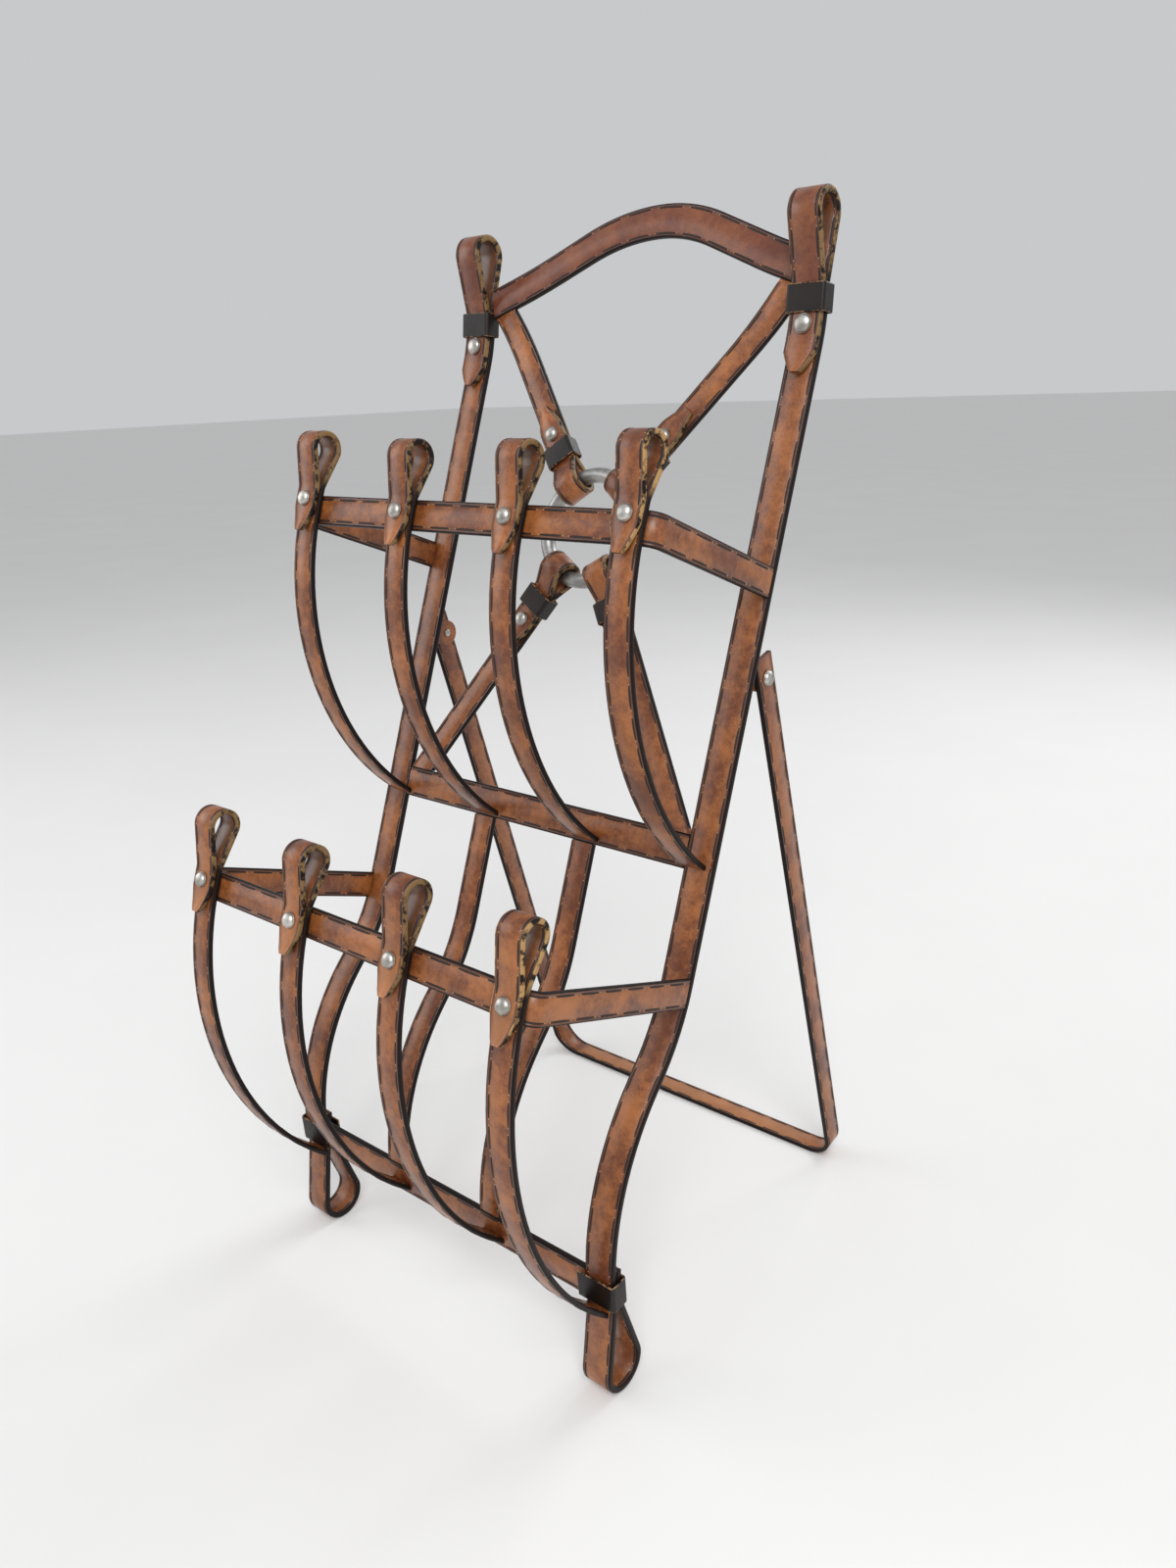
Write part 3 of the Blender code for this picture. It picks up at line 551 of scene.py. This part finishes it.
def metal(name, low, high, roughness, scale, stretch=(1, 1, 1)):
    """Satin metal with cloudy tarnish, dark spots and fine scratches."""
    made, tree, shader = nodes_of(name)
    where = tree.nodes.new("ShaderNodeTexCoord").outputs["Object"]
    mapped = node(tree, "ShaderNodeMapping", Vector=where, Scale=stretch).outputs["Vector"]
    scratches, cloudy = noise(tree, mapped, scale, 6.0, 0.7), noise(tree, where, 120.0, 4.0)
    spots = ramp(tree, noise(tree, where, 900.0, 3.0), 0.60, 0.72)
    colour = mix(tree, ramp(tree, cloudy, 0.35, 0.68), low, high)
    colour = mix(tree, times(tree, spots, 0.35), colour, tuple(c * 0.3 for c in low))
    feed(tree, shader.inputs["Base Color"], colour)
    feed(tree, shader.inputs["Metallic"], 1.0)
    gloss = plus(tree, roughness - 0.1, times(tree, scratches, 0.22))
    feed(tree, shader.inputs["Roughness"], plus(tree, gloss, times(tree, cloudy, 0.1)))
    bump(tree, shader, scratches, 0.12, 0.0002)
    return made


def thread(name, colour, light):
    """Waxed twisted thread."""
    made, tree, shader = nodes_of(name)
    where = tree.nodes.new("ShaderNodeTexCoord").outputs["Object"]
    twist = node(tree, "ShaderNodeTexWave", Vector=where, Scale=520.0, Distortion=2.0)
    fine = noise(tree, where, 700.0, 3.0)
    both = times(tree, plus(tree, twist.outputs["Fac"], fine), 0.5)
    feed(tree, shader.inputs["Base Color"], mix(tree, both, colour, light))
    feed(tree, shader.inputs["Roughness"], plus(tree, 0.5, times(tree, fine, 0.3)))
    bump(tree, shader, both, 0.4, 0.0002)
    return made


LEATHER, BLACK = leather(), black_leather()
THREAD = thread("dark_thread", (0.008, 0.004, 0.003), (0.022, 0.009, 0.006))
CREAM = thread("cream_thread", (0.30, 0.19, 0.10), (0.52, 0.38, 0.22))
PEWTER = metal("worn_nickel", (0.36, 0.34, 0.31), (0.66, 0.64, 0.60), 0.34, 600.0)
RING_STEEL = metal("satin_steel", (0.30, 0.30, 0.295), (0.46, 0.455, 0.44), 0.36, 260.0,
                   (1, 6, 1))
IRON = metal("black_iron", (0.035, 0.033, 0.031), (0.075, 0.070, 0.066), 0.5, 300.0)


# Sweeps


SKIN, RING_SKIN = 0.0003, 0.0001  # that the drawn faces lie under the solid's
# (distance in from the strap's edge, share of half its thickness)
ROUNDED_EDGE = [(0, 0), (0, 0.45), (0.0003, 0.80), (0.0008, 0.97), (0.0013, 1)]
LINE_IN = 0.0030  # of a stitch line from the strap's edge
DIP = 0.00045  # of the stitch groove
# (distance from the line towards the edge, share of the dip)
GROOVE = [(0.0009, 0), (0.0005, 0.7), (0, 1), (-0.0005, 0.7), (-0.0009, 0)]
PAST_EDGE = 0.0014  # clear of the rounded edge
CLOSE = 0.0001  # between points that stand for the groove where a tip is too narrow for it
CURLED = 0.018  # of a tip's length that curls outwards
FACETED = math.radians(50)  # an angle between faces that stays sharp
SHARPEST = 0.7  # cosine of half the sharpest bend that a strap is widened for

# Stitches, as shares of the pitch or of the radius
STITCH_FROM, STITCH_RUN = 0.14, 0.72
STITCH_SIZES = (0.35, 0.85, 1, 1, 1, 0.85, 0.35)
STITCH_AROUND, STITCH_RADIUS, STITCH_RISE = 6, 0.00085, 0.00048
STITCH_SUNK, DOT_SUNK = 0.45, 0.5  # of the dip
DOT_PAST, DOT_SIZE = 0.0009, (0.00055, 0.00045, 0.00040)


def stations(points, across, closed=False):
    """(point, direction across, outward normal, widening at a bend, direction ahead) for each
    point of a strip."""
    count = len(points)
    across = across if isinstance(across, list) else [across] * count
    made = []
    for i, (point, way) in enumerate(zip(points, across)):
        before = points[i - 1] if i or closed else point
        after = points[(i + 1) % count] if i + 1 < count or closed else point
        a = (point - before).normalized() if before is not point else None
        b = (after - point).normalized() if after is not point else None
        ahead = ((a or b) + (b or a)).normalized()
        spread = 1 / max(SHARPEST, ahead.dot(a or b))
        out = ahead.cross(way).normalized()
        made.append((point, way, out, spread, ahead))
    return made


def section(width, half, groove):
    """Half the outline of a strap's cross-section, as (across, out) from one edge to the other."""
    w, t = width / 2, half - SKIN
    side = [(w - inwards, share * t) for inwards, share in ROUNDED_EDGE]
    if groove and w > LINE_IN + PAST_EDGE:
        side += [(w - LINE_IN + aside, t - share * DIP) for aside, share in GROOVE]
    elif groove:
        count = len(GROOVE)
        side += [(max(w - PAST_EDGE - k * CLOSE, CLOSE * (count + 1 - k)), t) for k in range(count)]
    return side + [(-a, n) for a, n in side[::-1]]


def skin(shape, rings, closed=False):
    """Faces between one ring of vertices and the next."""
    for a, b in zip(rings, rings[1:] + rings[:1] if closed else rings[1:]):
        for i in range(len(a)):
            j = (i + 1) % len(a)
            shape.faces.new((a[i], a[j], b[j], b[i]))


def sweep(name, points, across, widths, thickness, look, closed=False, groove=True,
          tone=None, raw=None, worn=0.5, lining=0, place=None, curl=0.0):
    """A strap along the points. tone and raw are functions of (share of the length, point), and
    raw is 1 in its loop, where worn says how bare the cut edge is and lining which face is the
    inner one. Its last CURLED curls outwards by curl."""
    rows = stations(points, across, closed)
    widths = widths if isinstance(widths, list) else [widths] * len(rows)
    shape = bmesh.new()
    layers = {key: shape.verts.layers.float.new(key) for key in ("across", "tone", "raw", "lining")}
    lengths = [0.0]
    for (p, *_), (q, *_) in zip(rows, rows[1:]):
        lengths.append(lengths[-1] + (q - p).length)
    rings = []
    for (point, way, out, spread, _), width, done in zip(rows, widths, lengths):
        point = point + out * curl * max(0.0, 1 - (lengths[-1] - done) / CURLED) ** 2
        half = section(width, thickness / 2, groove)
        outline = half + [(-a, -n) for a, n in half[1:-1]]
        ring = []
        for a, n in outline:
            vert = shape.verts.new(point + way * a + out * n * spread)
            vert[layers["across"]] = 2 * abs(a) / width
            share = done / lengths[-1]
            vert[layers["tone"]] = tone(share, point) if tone else 0.0
            in_loop = raw(share, point) if raw else 0.0
            vert[layers["raw"]] = in_loop * worn
            vert[layers["lining"]] = float(n * lining > 0) * in_loop
            ring.append(vert)
        rings.append(ring)
    skin(shape, rings, closed)
    if not closed:
        shape.faces.new(rings[0][::-1])
        shape.faces.new(rings[-1])
    bmesh.ops.recalc_face_normals(shape, faces=shape.faces)
    return solid(name, shape, look, place)


def solid(name, shape, look, place=None):
    mesh = bpy.data.meshes.new(name)
    shape.to_mesh(mesh)
    shape.free()
    mesh.shade_smooth()
    mesh.set_sharp_from_angle(angle=FACETED)
    for each in look if isinstance(look, list) else [look]:
        mesh.materials.append(each)
    obj = bpy.data.objects.new(name, mesh)
    bpy.context.scene.collection.objects.link(obj)
    if place is not None:
        mesh.transform(place)
    return obj


def stitches(name, points, across, width, thickness, pitch, start, stop, place=None, keep=None):
    """Dashes of thread with a cream dot at each end, in both edges of both faces. keep says at
    which points of the strap there are any."""
    rows = stations(points, across)
    marks = [0.0]
    for (p, *_), (q, *_) in zip(rows, rows[1:]):
        marks.append(marks[-1] + (q - p).length)

    def seat(distance, side, face, sunk):
        """The strap's middle at a distance along it, the point of the stitch line beside it, and
        the directions across, out of the face and along."""
        i = max(0, min(sum(mark <= distance for mark in marks) - 1, len(rows) - 2))
        share = (distance - marks[i]) / (marks[i + 1] - marks[i])
        (p, w1, n1, _, t1), (q, w2, n2, _, t2) = rows[i], rows[i + 1]
        middle, way, ahead = p.lerp(q, share), w1.lerp(w2, share), t1.lerp(t2, share)
        out = n1.lerp(n2, share) * face
        base = middle + way * side * (width / 2 - LINE_IN)
        return middle, base + out * (thickness / 2 - SKIN - sunk * DIP), way, out, ahead

    def dash(first, last, side, face):
        """The rings of one stitch, or none where the strap isn't kept."""
        rings = []
        for k, size in enumerate(STITCH_SIZES):
            spot = first + (last - first) * k / (len(STITCH_SIZES) - 1)
            middle, base, way, out, _ = seat(spot, side, face, STITCH_SUNK)
            if keep and not keep(middle):
                return []
            rings.append([
                shape.verts.new(base + way * STITCH_RADIUS * size * math.cos(turn) +
                                out * STITCH_RISE * size * math.sin(turn))
                for turn in (2 * math.pi * j / STITCH_AROUND for j in range(STITCH_AROUND))
            ])
        return rings

    def dot(spot, side, face):
        _, base, way, out, ahead = seat(spot, side, face, DOT_SUNK)
        turn = Matrix((way, ahead, out)).transposed().to_4x4()
        verts = bmesh.ops.create_icosphere(shape, subdivisions=1, radius=1)["verts"]
        bmesh.ops.scale(shape, vec=DOT_SIZE, verts=verts)
        bmesh.ops.transform(shape, matrix=Matrix.Translation(base) @ turn, verts=verts)
        for vert in verts:
            for each in vert.link_faces:
                each.material_index = 1

    shape = bmesh.new()
    run = marks[-1] - start - stop
    count = max(1, int(run / pitch))
    pitch = run / count
    for number in range(count):
        first = start + number * pitch + STITCH_FROM * pitch
        last = first + STITCH_RUN * pitch
        for side, face in ((-1, -1), (-1, 1), (1, -1), (1, 1)):
            rings = dash(first, last, side, face)
            if not rings:
                continue
            skin(shape, rings)
            for ring in (rings[0], rings[-1]):
                shape.faces.new(ring)
            dot(first - DOT_PAST, side, face)
            dot(last + DOT_PAST, side, face)
    bmesh.ops.recalc_face_normals(shape, faces=shape.faces)
    return solid(name, shape, [THREAD, CREAM], place)


def piece(obj, body, slot, *nodes):
    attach(obj, body)
    if nodes:
        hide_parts(*nodes)
    return obj


def strap(node_name, points, across, width, thickness, pitch=0.025, start=0.004, stop=0.004,
          body="frame", place=None, keep=None, widths=None, **looks):
    """A stitched strap that stands for one CAD node. Its stitches begin and end at the distances
    start and stop from its ends."""
    obj = sweep(f"{node_name}_leather", points, across, widths or width, thickness, LEATHER,
                place=place, **looks)
    piece(obj, body, "leather", node_name)
    sewing = stitches(f"{node_name}_stitching", points, across, width, thickness, pitch, start,
                      stop, place, keep)
    piece(sewing, body, "leather")
    return obj


PANEL_TURN = Matrix.Rotation(math.pi / 2 - LEAN, 4, "X")
PANEL_PLACE = Matrix.Translation((0, 0, PANEL_HEIGHT)) @ PANEL_TURN
LEG_PLACE = Matrix.Translation(PIVOT)
SMALL_PITCH, RIB_PITCH = 0.022, 0.021  # of the stitches on slats and ring straps, and on ribs
MOST_SIDE_STEP, MOST_TURNED_STEP = 0.006, 0.005  # between the stations of a straight
TIP_WIDTH, TIP_ROUND = 0.40, 0.004  # share of the strap's width, and the length of its rounding

# Where stitches begin, from a strap's end, and how far they stay clear of its tip
RIB_START, LEG_START, LOW_STRAP_START, HIGH_STRAP_START = 0.010, 0.012, 0.010, 0.034
CLEAR_OF_TIP, CLEAR_OF_RIB_TIP = 0.004, 0.002
# The top loop begins between these lengths before the end of an upright's path
TOP_LOOP_FROM, TOP_LOOP_FULL = 0.20, 0.17
LOOP_LENGTH = 2.9  # of the path round a rib's loop, about, as a share of the loop's height
ARCH_CUT_DEPTH = 0.04

# Tones from dark to pale, how far the tips curl outwards, and how bare the loops' edges are worn
HEAD_TONE, FOOT_TONE, ARCH_TONE = -0.55, 0.25, -0.6
RIB_TONE, UPPER_TIP_TONE, LOWER_TIP_TONE = -0.2, 0.15, 0.8
LEG_TONE, LEG_BAR_TONE = -0.25, 0.75
UPRIGHT_CURL, RIB_CURL = 0.0015, 0.0022
WORN, WORN_MOST = 0.5, 1.0


def path_length(points):
    return sum((b - a).length for a, b in zip(points, points[1:]))


def finer(points):
    """The path with its long straights split."""
    made = [points[0]]
    for a, b in zip(points, points[1:]):
        steps = max(1, math.ceil((b - a).length / MOST_SIDE_STEP))
        made += [a.lerp(b, k / steps) for k in range(1, steps + 1)]
    return made


def split(points, across):
    """Stations with their long straights split, and the directions across them."""
    ways, made = [across[0]], [points[0]]
    for (a, b), (c, d) in zip(zip(points, points[1:]), zip(across, across[1:])):
        steps = max(1, math.ceil((b - a).length / MOST_TURNED_STEP))
        made += [a.lerp(b, k / steps) for k in range(1, steps + 1)]
        ways += [c.lerp(d, k / steps) for k in range(1, steps + 1)]
    return made, ways


def taper(points, width, tip, rounded=True):
    """Widths that narrow over the last tip of a path to its blunt end."""
    total, done, widths = path_length(points), 0.0, [width]
    for a, b in zip(points, points[1:]):
        done += (b - a).length
        left = max(0.0, total - done)
        share = min(1, TIP_WIDTH + (1 - TIP_WIDTH) * left / (TIP_SHARES[0] * tip))
        if rounded and left < TIP_ROUND:
            share *= 0.80 + 0.20 * math.sqrt(max(0.0, 1 - (1 - left / TIP_ROUND) ** 2))
        widths.append(width * share)
    return widths


def smooth(value, low, high):
    """0 up to the low value, 1 from the high one."""
    share = max(0.0, min(1.0, (value - low) / (high - low)))
    return share * share * (3 - 2 * share)


def draw_uprights():
    path = upright_path()
    tip = (path[-1] - path[-3]).length
    for name, side in SIDES.items():
        points = finer(side_points(path, side * UPRIGHT_X))
        total = path_length(points)

        def tone(share, point):
            head, foot = smooth(point.z, 0.66, 0.74), smooth(0.12 - point.z, 0, 0.1)
            return HEAD_TONE * head + FOOT_TONE * foot

        def raw(share, point):
            return smooth(share, 1 - TOP_LOOP_FROM / total, 1 - TOP_LOOP_FULL / total)

        strap(f"{name}_upright", points, ACROSS, WIDE, THICK, widths=taper(points, WIDE, tip),
              stop=tip + CLEAR_OF_TIP, tone=tone, raw=raw, lining=-1, curl=UPRIGHT_CURL)


def draw_crosswise():
    points, across = arch_path()
    kept = [(p, a) for p, a in zip(points, across) if abs(p.x) < INNER_X]
    ends = []
    for (p, a), (q, b) in ((kept[0], kept[1]), (kept[-1], kept[-2])):
        edge = math.copysign(INNER_X, p.x)
        ends.append((p + (p - q) * ((edge - p.x) / (p.x - q.x)), a))
    kept = [ends[0], *kept, ends[1]]
    points, across = [p for p, _ in kept], [a for _, a in kept]
    strap("top_arch", points, across, WIDE, THICK, tone=lambda share, point: ARCH_TONE)
    for name, (middle, rise) in crossbars().items():
        points = finer([middle - ACROSS * INNER_X, middle + ACROSS * INNER_X])
        strap(name, points, rise, WIDE, THICK)
    for name, side in SIDES.items():
        top, bottom = -WIDE / 2 - GAP, FOOT_BAR_Z + WIDE / 2 + GAP
        points = finer(slat_path(side * SLAT_X, top, bottom))
        strap(f"{name}_back_slat", points, ACROSS, SLIM, THIN, pitch=SMALL_PITCH)


def trimmer(name, low, high):
    """A cutter: the box between two corners."""
    shape = bmesh.new()
    bmesh.ops.create_cube(shape, size=1)
    low, high = Vector(low), Vector(high)
    bmesh.ops.scale(shape, vec=high - low, verts=shape.verts)
    bmesh.ops.translate(shape, vec=(high + low) / 2, verts=shape.verts)
    return solid(name, shape, BLACK)


def trim(obj, cutters):
    """Cut an object and keep what is left as its mesh."""
    for cutter in cutters:
        modifier = obj.modifiers.new(cutter.name, "BOOLEAN")
        modifier.operation = "DIFFERENCE"
        modifier.object = cutter
    graph = bpy.context.evaluated_depsgraph_get()
    mesh = bpy.data.meshes.new_from_object(obj.evaluated_get(graph))
    obj.modifiers.clear()
    obj.data = mesh


def draw_straps():
    outside = [trimmer("left_trim", (-FAR, -FAR, 0), (-INNER_X, FAR, 1)),
               trimmer("right_trim", (INNER_X, -FAR, 0), (FAR, FAR, 1))]
    points, across = arch_path()
    raised = [point + way * ARCH_CUT for point, way in zip(points, across)]
    above = sweep("above_trim", raised, across, WIDE + 2 * ARCH_CUT + 2 * GAP, ARCH_CUT_DEPTH,
                  BLACK, groove=False)
    round_ring = loop(STRAP_LOOP_RADIUS, STRAP_LOOP_BASE - RING_RADIUS, SLIM_HALF_STACK, 1)
    tip = STRAP_TIP - STRAP_RIVET
    ending = [(STRAP_RIVET - STRAP_LOOP_BASE, 0), *tip_stretches(tip)]
    inner, _ = trace((0, STRAP_LOOP_BASE), math.pi, round_ring + ending)
    for name, corner in RING_CORNERS.items():
        upper = corner[1] > 0
        end = RING_UP + corner[1] + ARCH_LAP if upper else WIDE / 2 + GAP
        points, across = split(*strap_path(corner, end, inner))
        obj = strap(f"{name}_ring_strap", points, across, SLIM, THIN,
                    widths=taper(points, SLIM, tip, rounded=False),
                    start=HIGH_STRAP_START if upper else LOW_STRAP_START,
                    stop=tip + CLEAR_OF_TIP, pitch=SMALL_PITCH,
                    keep=lambda point: abs(point.x) < STRAP_EDGE,
                    raw=lambda share, point: smooth(share, 0.45, 0.55))
        trim(obj, ([above] if upper else []) + outside)
        place = PANEL_PLACE @ strap_place(corner, STRAP_RIVET, keeper_axes=False)
        draw_rivet(f"{name}_strap_rivet", place, 2 * THIN + GAP, DOME_RADIUS)
        place = PANEL_PLACE @ strap_place(corner, STRAP_KEEPER)
        draw_keeper(f"{name}_strap_keeper", place, (SLIM, 2 * THIN + GAP), STRAP_KEEPER_HEIGHT)
    for cutter in [above, *outside]:
        bpy.data.objects.remove(cutter, do_unlink=True)


def draw_baskets():
    round_top = [(RIB_LOOP_BASE, 0), *tip_stretches(RIB_TIP)]
    grip = 3 * THIN + GAP + RAIL_PLAY
    for label, basket in (("upper", UPPER), ("lower", LOWER)):
        points = rail_path(basket)
        for end in (0, -1):
            points[end] = Vector((points[end].x, points[end].y, THICK / 2 + GAP))
        strap(f"{label}_front_rail", finer(points), Vector((0, 1, 0)), SLIM, THIN,
              place=PANEL_PLACE)
        over = loop(RIB_LOOP_RADIUS, basket["loop"], SLIM_HALF_STACK, 1)
        for number, (x, lift) in enumerate(basket["ribs"], 1):
            path = rib_path(basket, x, [(lift + RIB_LOOP_BASE, 0), *over, *round_top])
            name = f"{label}_rib_{number}"
            points = finer(side_points(path, x))
            total = path_length(points)
            loop_share = 1 - (RIB_TIP + 2 * RIB_LOOP_BASE + LOOP_LENGTH * basket["loop"]) / total
            tip_tone = LOWER_TIP_TONE if basket is LOWER else UPPER_TIP_TONE

            def tone(share, point):
                at_tip, above = smooth(share, loop_share + 0.10, 1), smooth(share, 0.5, 0.9)
                return tip_tone * at_tip + RIB_TONE * above

            def raw(share, point):
                return smooth(share, loop_share, loop_share + 0.03)

            strap(name, points, ACROSS, SLIM, THIN, widths=taper(points, SLIM, RIB_TIP),
                  pitch=RIB_PITCH, start=RIB_START, stop=RIB_TIP + CLEAR_OF_RIB_TIP, tone=tone,
                  raw=raw, lining=-1, worn=WORN_MOST if number == 4 else WORN, curl=RIB_CURL)
            out = rib_out(basket) + 1.5 * THIN + GAP - grip / 2
            place = axes(Vector((x, basket["up"] + lift, out)), ACROSS, Vector((0, 0, 1)))
            draw_rivet(f"{name}_rivet", PANEL_PLACE @ place, grip, DOME_RADIUS)


def draw_leg():
    points, across = split(*leg_path(LEG_ABOVE))

    def tone(share, point):
        on_bar = abs(share - 0.5) < 0.2
        return LEG_BAR_TONE * smooth(0.15 - abs(point.x), 0, 0.02) if on_bar else LEG_TONE

    strap("rear_leg", points, across, SLIM, THIN, body="leg", place=LEG_PLACE, start=LEG_START,
          stop=LEG_START, tone=tone)
    for name, side in SIDES.items():
        inside, outside = TAB_X - TAB_THICK / 2, LEG_X + THIN / 2
        middle = PIVOT + ACROSS * side * (inside + outside) / 2
        place = axes(middle, Vector((0, 0, -side)), ACROSS * side)
        draw_rivet(f"{name}_hinge_pin", place, outside - inside, DOME_RADIUS)


def turned(name, profile, look):
    """A solid of revolution about Z through (radius, height) points from top to bottom."""
    shape = bmesh.new()
    turns = [2 * math.pi * k / RIVET_AROUND for k in range(RIVET_AROUND)]
    rings = [[shape.verts.new((r * math.cos(a), r * math.sin(a), z)) for a in turns]
             for r, z in profile[1:-1]]
    skin(shape, rings)
    for (_, z), ring in ((profile[0], rings[0]), (profile[-1], rings[-1])):
        tip = shape.verts.new((0, 0, z))
        for a, b in zip(ring, ring[1:] + ring[:1]):
            shape.faces.new((tip, a, b))
    bmesh.ops.recalc_face_normals(shape, faces=shape.faces)
    return solid(name, shape, look)


def draw_rivet(node_name, place, grip, radius):
    """A domed rivet with a thin rolled rim, and its clenched end."""
    top, bottom = grip / 2 + GAP, -grip / 2 - GAP
    dome = []
    for step in range(1, DOME_STEPS + 1):
        angle = math.pi / 2 * (1 - step / DOME_STEPS)
        rise = (DOME_HEIGHT - DOME_BASE) * math.sin(angle)
        dome.append((radius * DOME_SHARE * math.cos(angle), top + DOME_BASE + rise))
    rim = [(radius * share, top + height) for share, height in RIM]
    tail = [(SHANK_RADIUS * share, bottom - depth) for share, depth in TAIL]
    profile = [(0, top + DOME_HEIGHT), *dome, *rim, (SHANK_RADIUS, top), *tail,
               (0, bottom - TAIL_END)]
    obj = turned(f"{node_name}_dome", profile, PEWTER)
    obj.data.transform(place)
    piece(obj, "frame", "rivet_metal", node_name)


def draw_keeper(node_name, place, inner, height, open_side=0):
    """A band of keeper leather round a stack of straps. Where it is open, its two ends stand past
    the stack as flaps."""
    half_x, half_y = ((size + KEEPER_WALL) / 2 + KEEPER_PLAY for size in inner)
    side, front = (2 * (half_y - KEEPER_CORNER), 0), (2 * (half_x - KEEPER_CORNER), 0)
    bend = (KEEPER_CORNER * math.pi / 2, 90)
    if open_side:
        flap = (2 * half_x + FLAP - KEEPER_CORNER, 0)
        flat, _ = trace((-half_x - FLAP, half_y), math.pi / 2, [flap, bend, side, bend, flap])
        flat = [Vector((-x * open_side, y)) for x, y in flat]
    else:
        start = (-half_x + KEEPER_CORNER, half_y)
        flat, _ = trace(start, math.pi / 2, [front, bend, side, bend] * 2)
        flat.pop()
    points = [point.to_3d() for point in flat]
    obj = sweep(f"{node_name}_band", points, Vector((0, 0, 1)), height, KEEPER_WALL, BLACK,
                closed=not open_side, groove=False, place=place)
    piece(obj, "frame", "keeper_leather", node_name)


def draw_fasteners():
    for name, side in SIDES.items():
        x = side * UPRIGHT_X
        place = stack_place(UPRIGHT_FRONT, TOP_RIVET_Z, x, keeper_axes=False)
        draw_rivet(f"{name}_top_rivet", place, 2 * THICK + GAP + CREST_PLAY, TOP_DOME_RADIUS)
        stack = (WIDE, 2 * THICK + GAP)
        place = stack_place(UPRIGHT_FRONT, TOP_KEEPER_Z, x)
        draw_keeper(f"{name}_top_keeper", place, stack, KEEPER_HEIGHT)
        place = stack_place(UPRIGHT_FRONT, FOOT_KEEPER_Z, x, behind=True)
        draw_keeper(f"{name}_foot_keeper", place, stack, FOOT_KEEPER_HEIGHT, open_side=-side)


def draw_ring():
    shape = bmesh.new()
    radius = RING_BAR - RING_SKIN
    turns = [2 * math.pi * k / BAR_AROUND for k in range(BAR_AROUND)]
    rings = []
    for step in range(RING_AROUND):
        angle = 2 * math.pi * step / RING_AROUND
        outward = Vector((math.cos(angle), math.sin(angle), 0))
        rings.append([shape.verts.new(outward * (RING_RADIUS + radius * math.cos(a)) +
                                      Vector((0, 0, radius * math.sin(a)))) for a in turns])
    skin(shape, rings, closed=True)
    bmesh.ops.recalc_face_normals(shape, faces=shape.faces)
    place = PANEL_PLACE @ Matrix.Translation((0, RING_UP, SLIM_HALF_STACK))
    piece(solid("ring_bar", shape, RING_STEEL, place), "ring", "ring_steel", "ring")


def colour_kept_nodes():
    """The CAD's own steel and hinge tabs, which no drawn piece replaces."""
    for name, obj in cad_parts.items():
        tab = name.endswith("_hinge_tab")
        if tab or name in ("frame_core", "leg_core"):
            for slot in obj.material_slots:
                slot.material = LEATHER if tab else IRON


# Studio


# (place, target, power in watts, size) of each lamp
LAMPS = {
    "key": ((1.5, -1.6, 2.3), (0, 0, 0.4), 48, 1.3),
    "fill": ((-2.2, -1.2, 1.4), (0, 0, 0.4), 18, 1.8),
    "back": ((0.4, 2.2, 1.9), (0, 0, 0.5), 22, 1.4),
}
FLOOR_SIZE = 30
SKY, SKY_STRENGTH = (0.93, 0.94, 0.96, 1), 0.62


def area(name, place, target, power, size):
    lamp = bpy.data.lights.new(name, "AREA")
    lamp.energy, lamp.size = power, size
    obj = bpy.data.objects.new(name, lamp)
    bpy.context.scene.collection.objects.link(obj)
    obj.location = place
    obj.rotation_euler = (Vector(target) - Vector(place)).to_track_quat("-Z", "Y").to_euler()


def studio():
    shape = bmesh.new()
    bmesh.ops.create_grid(shape, x_segments=1, y_segments=1, size=FLOOR_SIZE)
    made, tree, shader = nodes_of("pale_floor")
    where = tree.nodes.new("ShaderNodeTexCoord").outputs["Object"]
    faint = noise(tree, where, 3.0)
    pale = mix(tree, faint, (0.78, 0.775, 0.765), (0.83, 0.825, 0.815))
    feed(tree, shader.inputs["Base Color"], pale)
    feed(tree, shader.inputs["Roughness"], 0.85)
    solid("floor", shape, made)
    world = bpy.data.worlds.new("studio")
    bpy.context.scene.world = world
    world.use_nodes = True
    background = world.node_tree.nodes["Background"]
    background.inputs["Color"].default_value = SKY
    background.inputs["Strength"].default_value = SKY_STRENGTH
    for name, lamp in LAMPS.items():
        area(name, *lamp)


CAMERA_PLACE = (0.5798, -0.6351, 0.6994)
YAW, PITCH, ROLL = 0.691, -0.335, -0.04
LENS, SENSOR = 26.47, 36  # mm


def camera():
    data = bpy.data.cameras.new("camera")
    data.lens, data.sensor_width, data.sensor_fit = LENS, SENSOR, "AUTO"
    obj = bpy.data.objects.new("camera", data)
    bpy.context.scene.collection.objects.link(obj)
    ahead = Vector((-math.sin(YAW) * math.cos(PITCH), math.cos(YAW) * math.cos(PITCH),
                    math.sin(PITCH)))
    right = Vector((math.cos(YAW), math.sin(YAW), 0))
    up = right.cross(ahead)
    level, tilt = math.cos(ROLL), math.sin(ROLL)
    turned_axes = (right * level + up * tilt, up * level - right * tilt, -ahead)
    obj.matrix_world = Matrix.Translation(CAMERA_PLACE) @ Matrix(turned_axes).transposed().to_4x4()
    bpy.context.scene.camera = obj
    bpy.context.scene.view_settings.view_transform = "Standard"


draw_uprights()
draw_crosswise()
draw_straps()
draw_baskets()
draw_leg()
draw_fasteners()
draw_ring()
colour_kept_nodes()
studio()
camera()
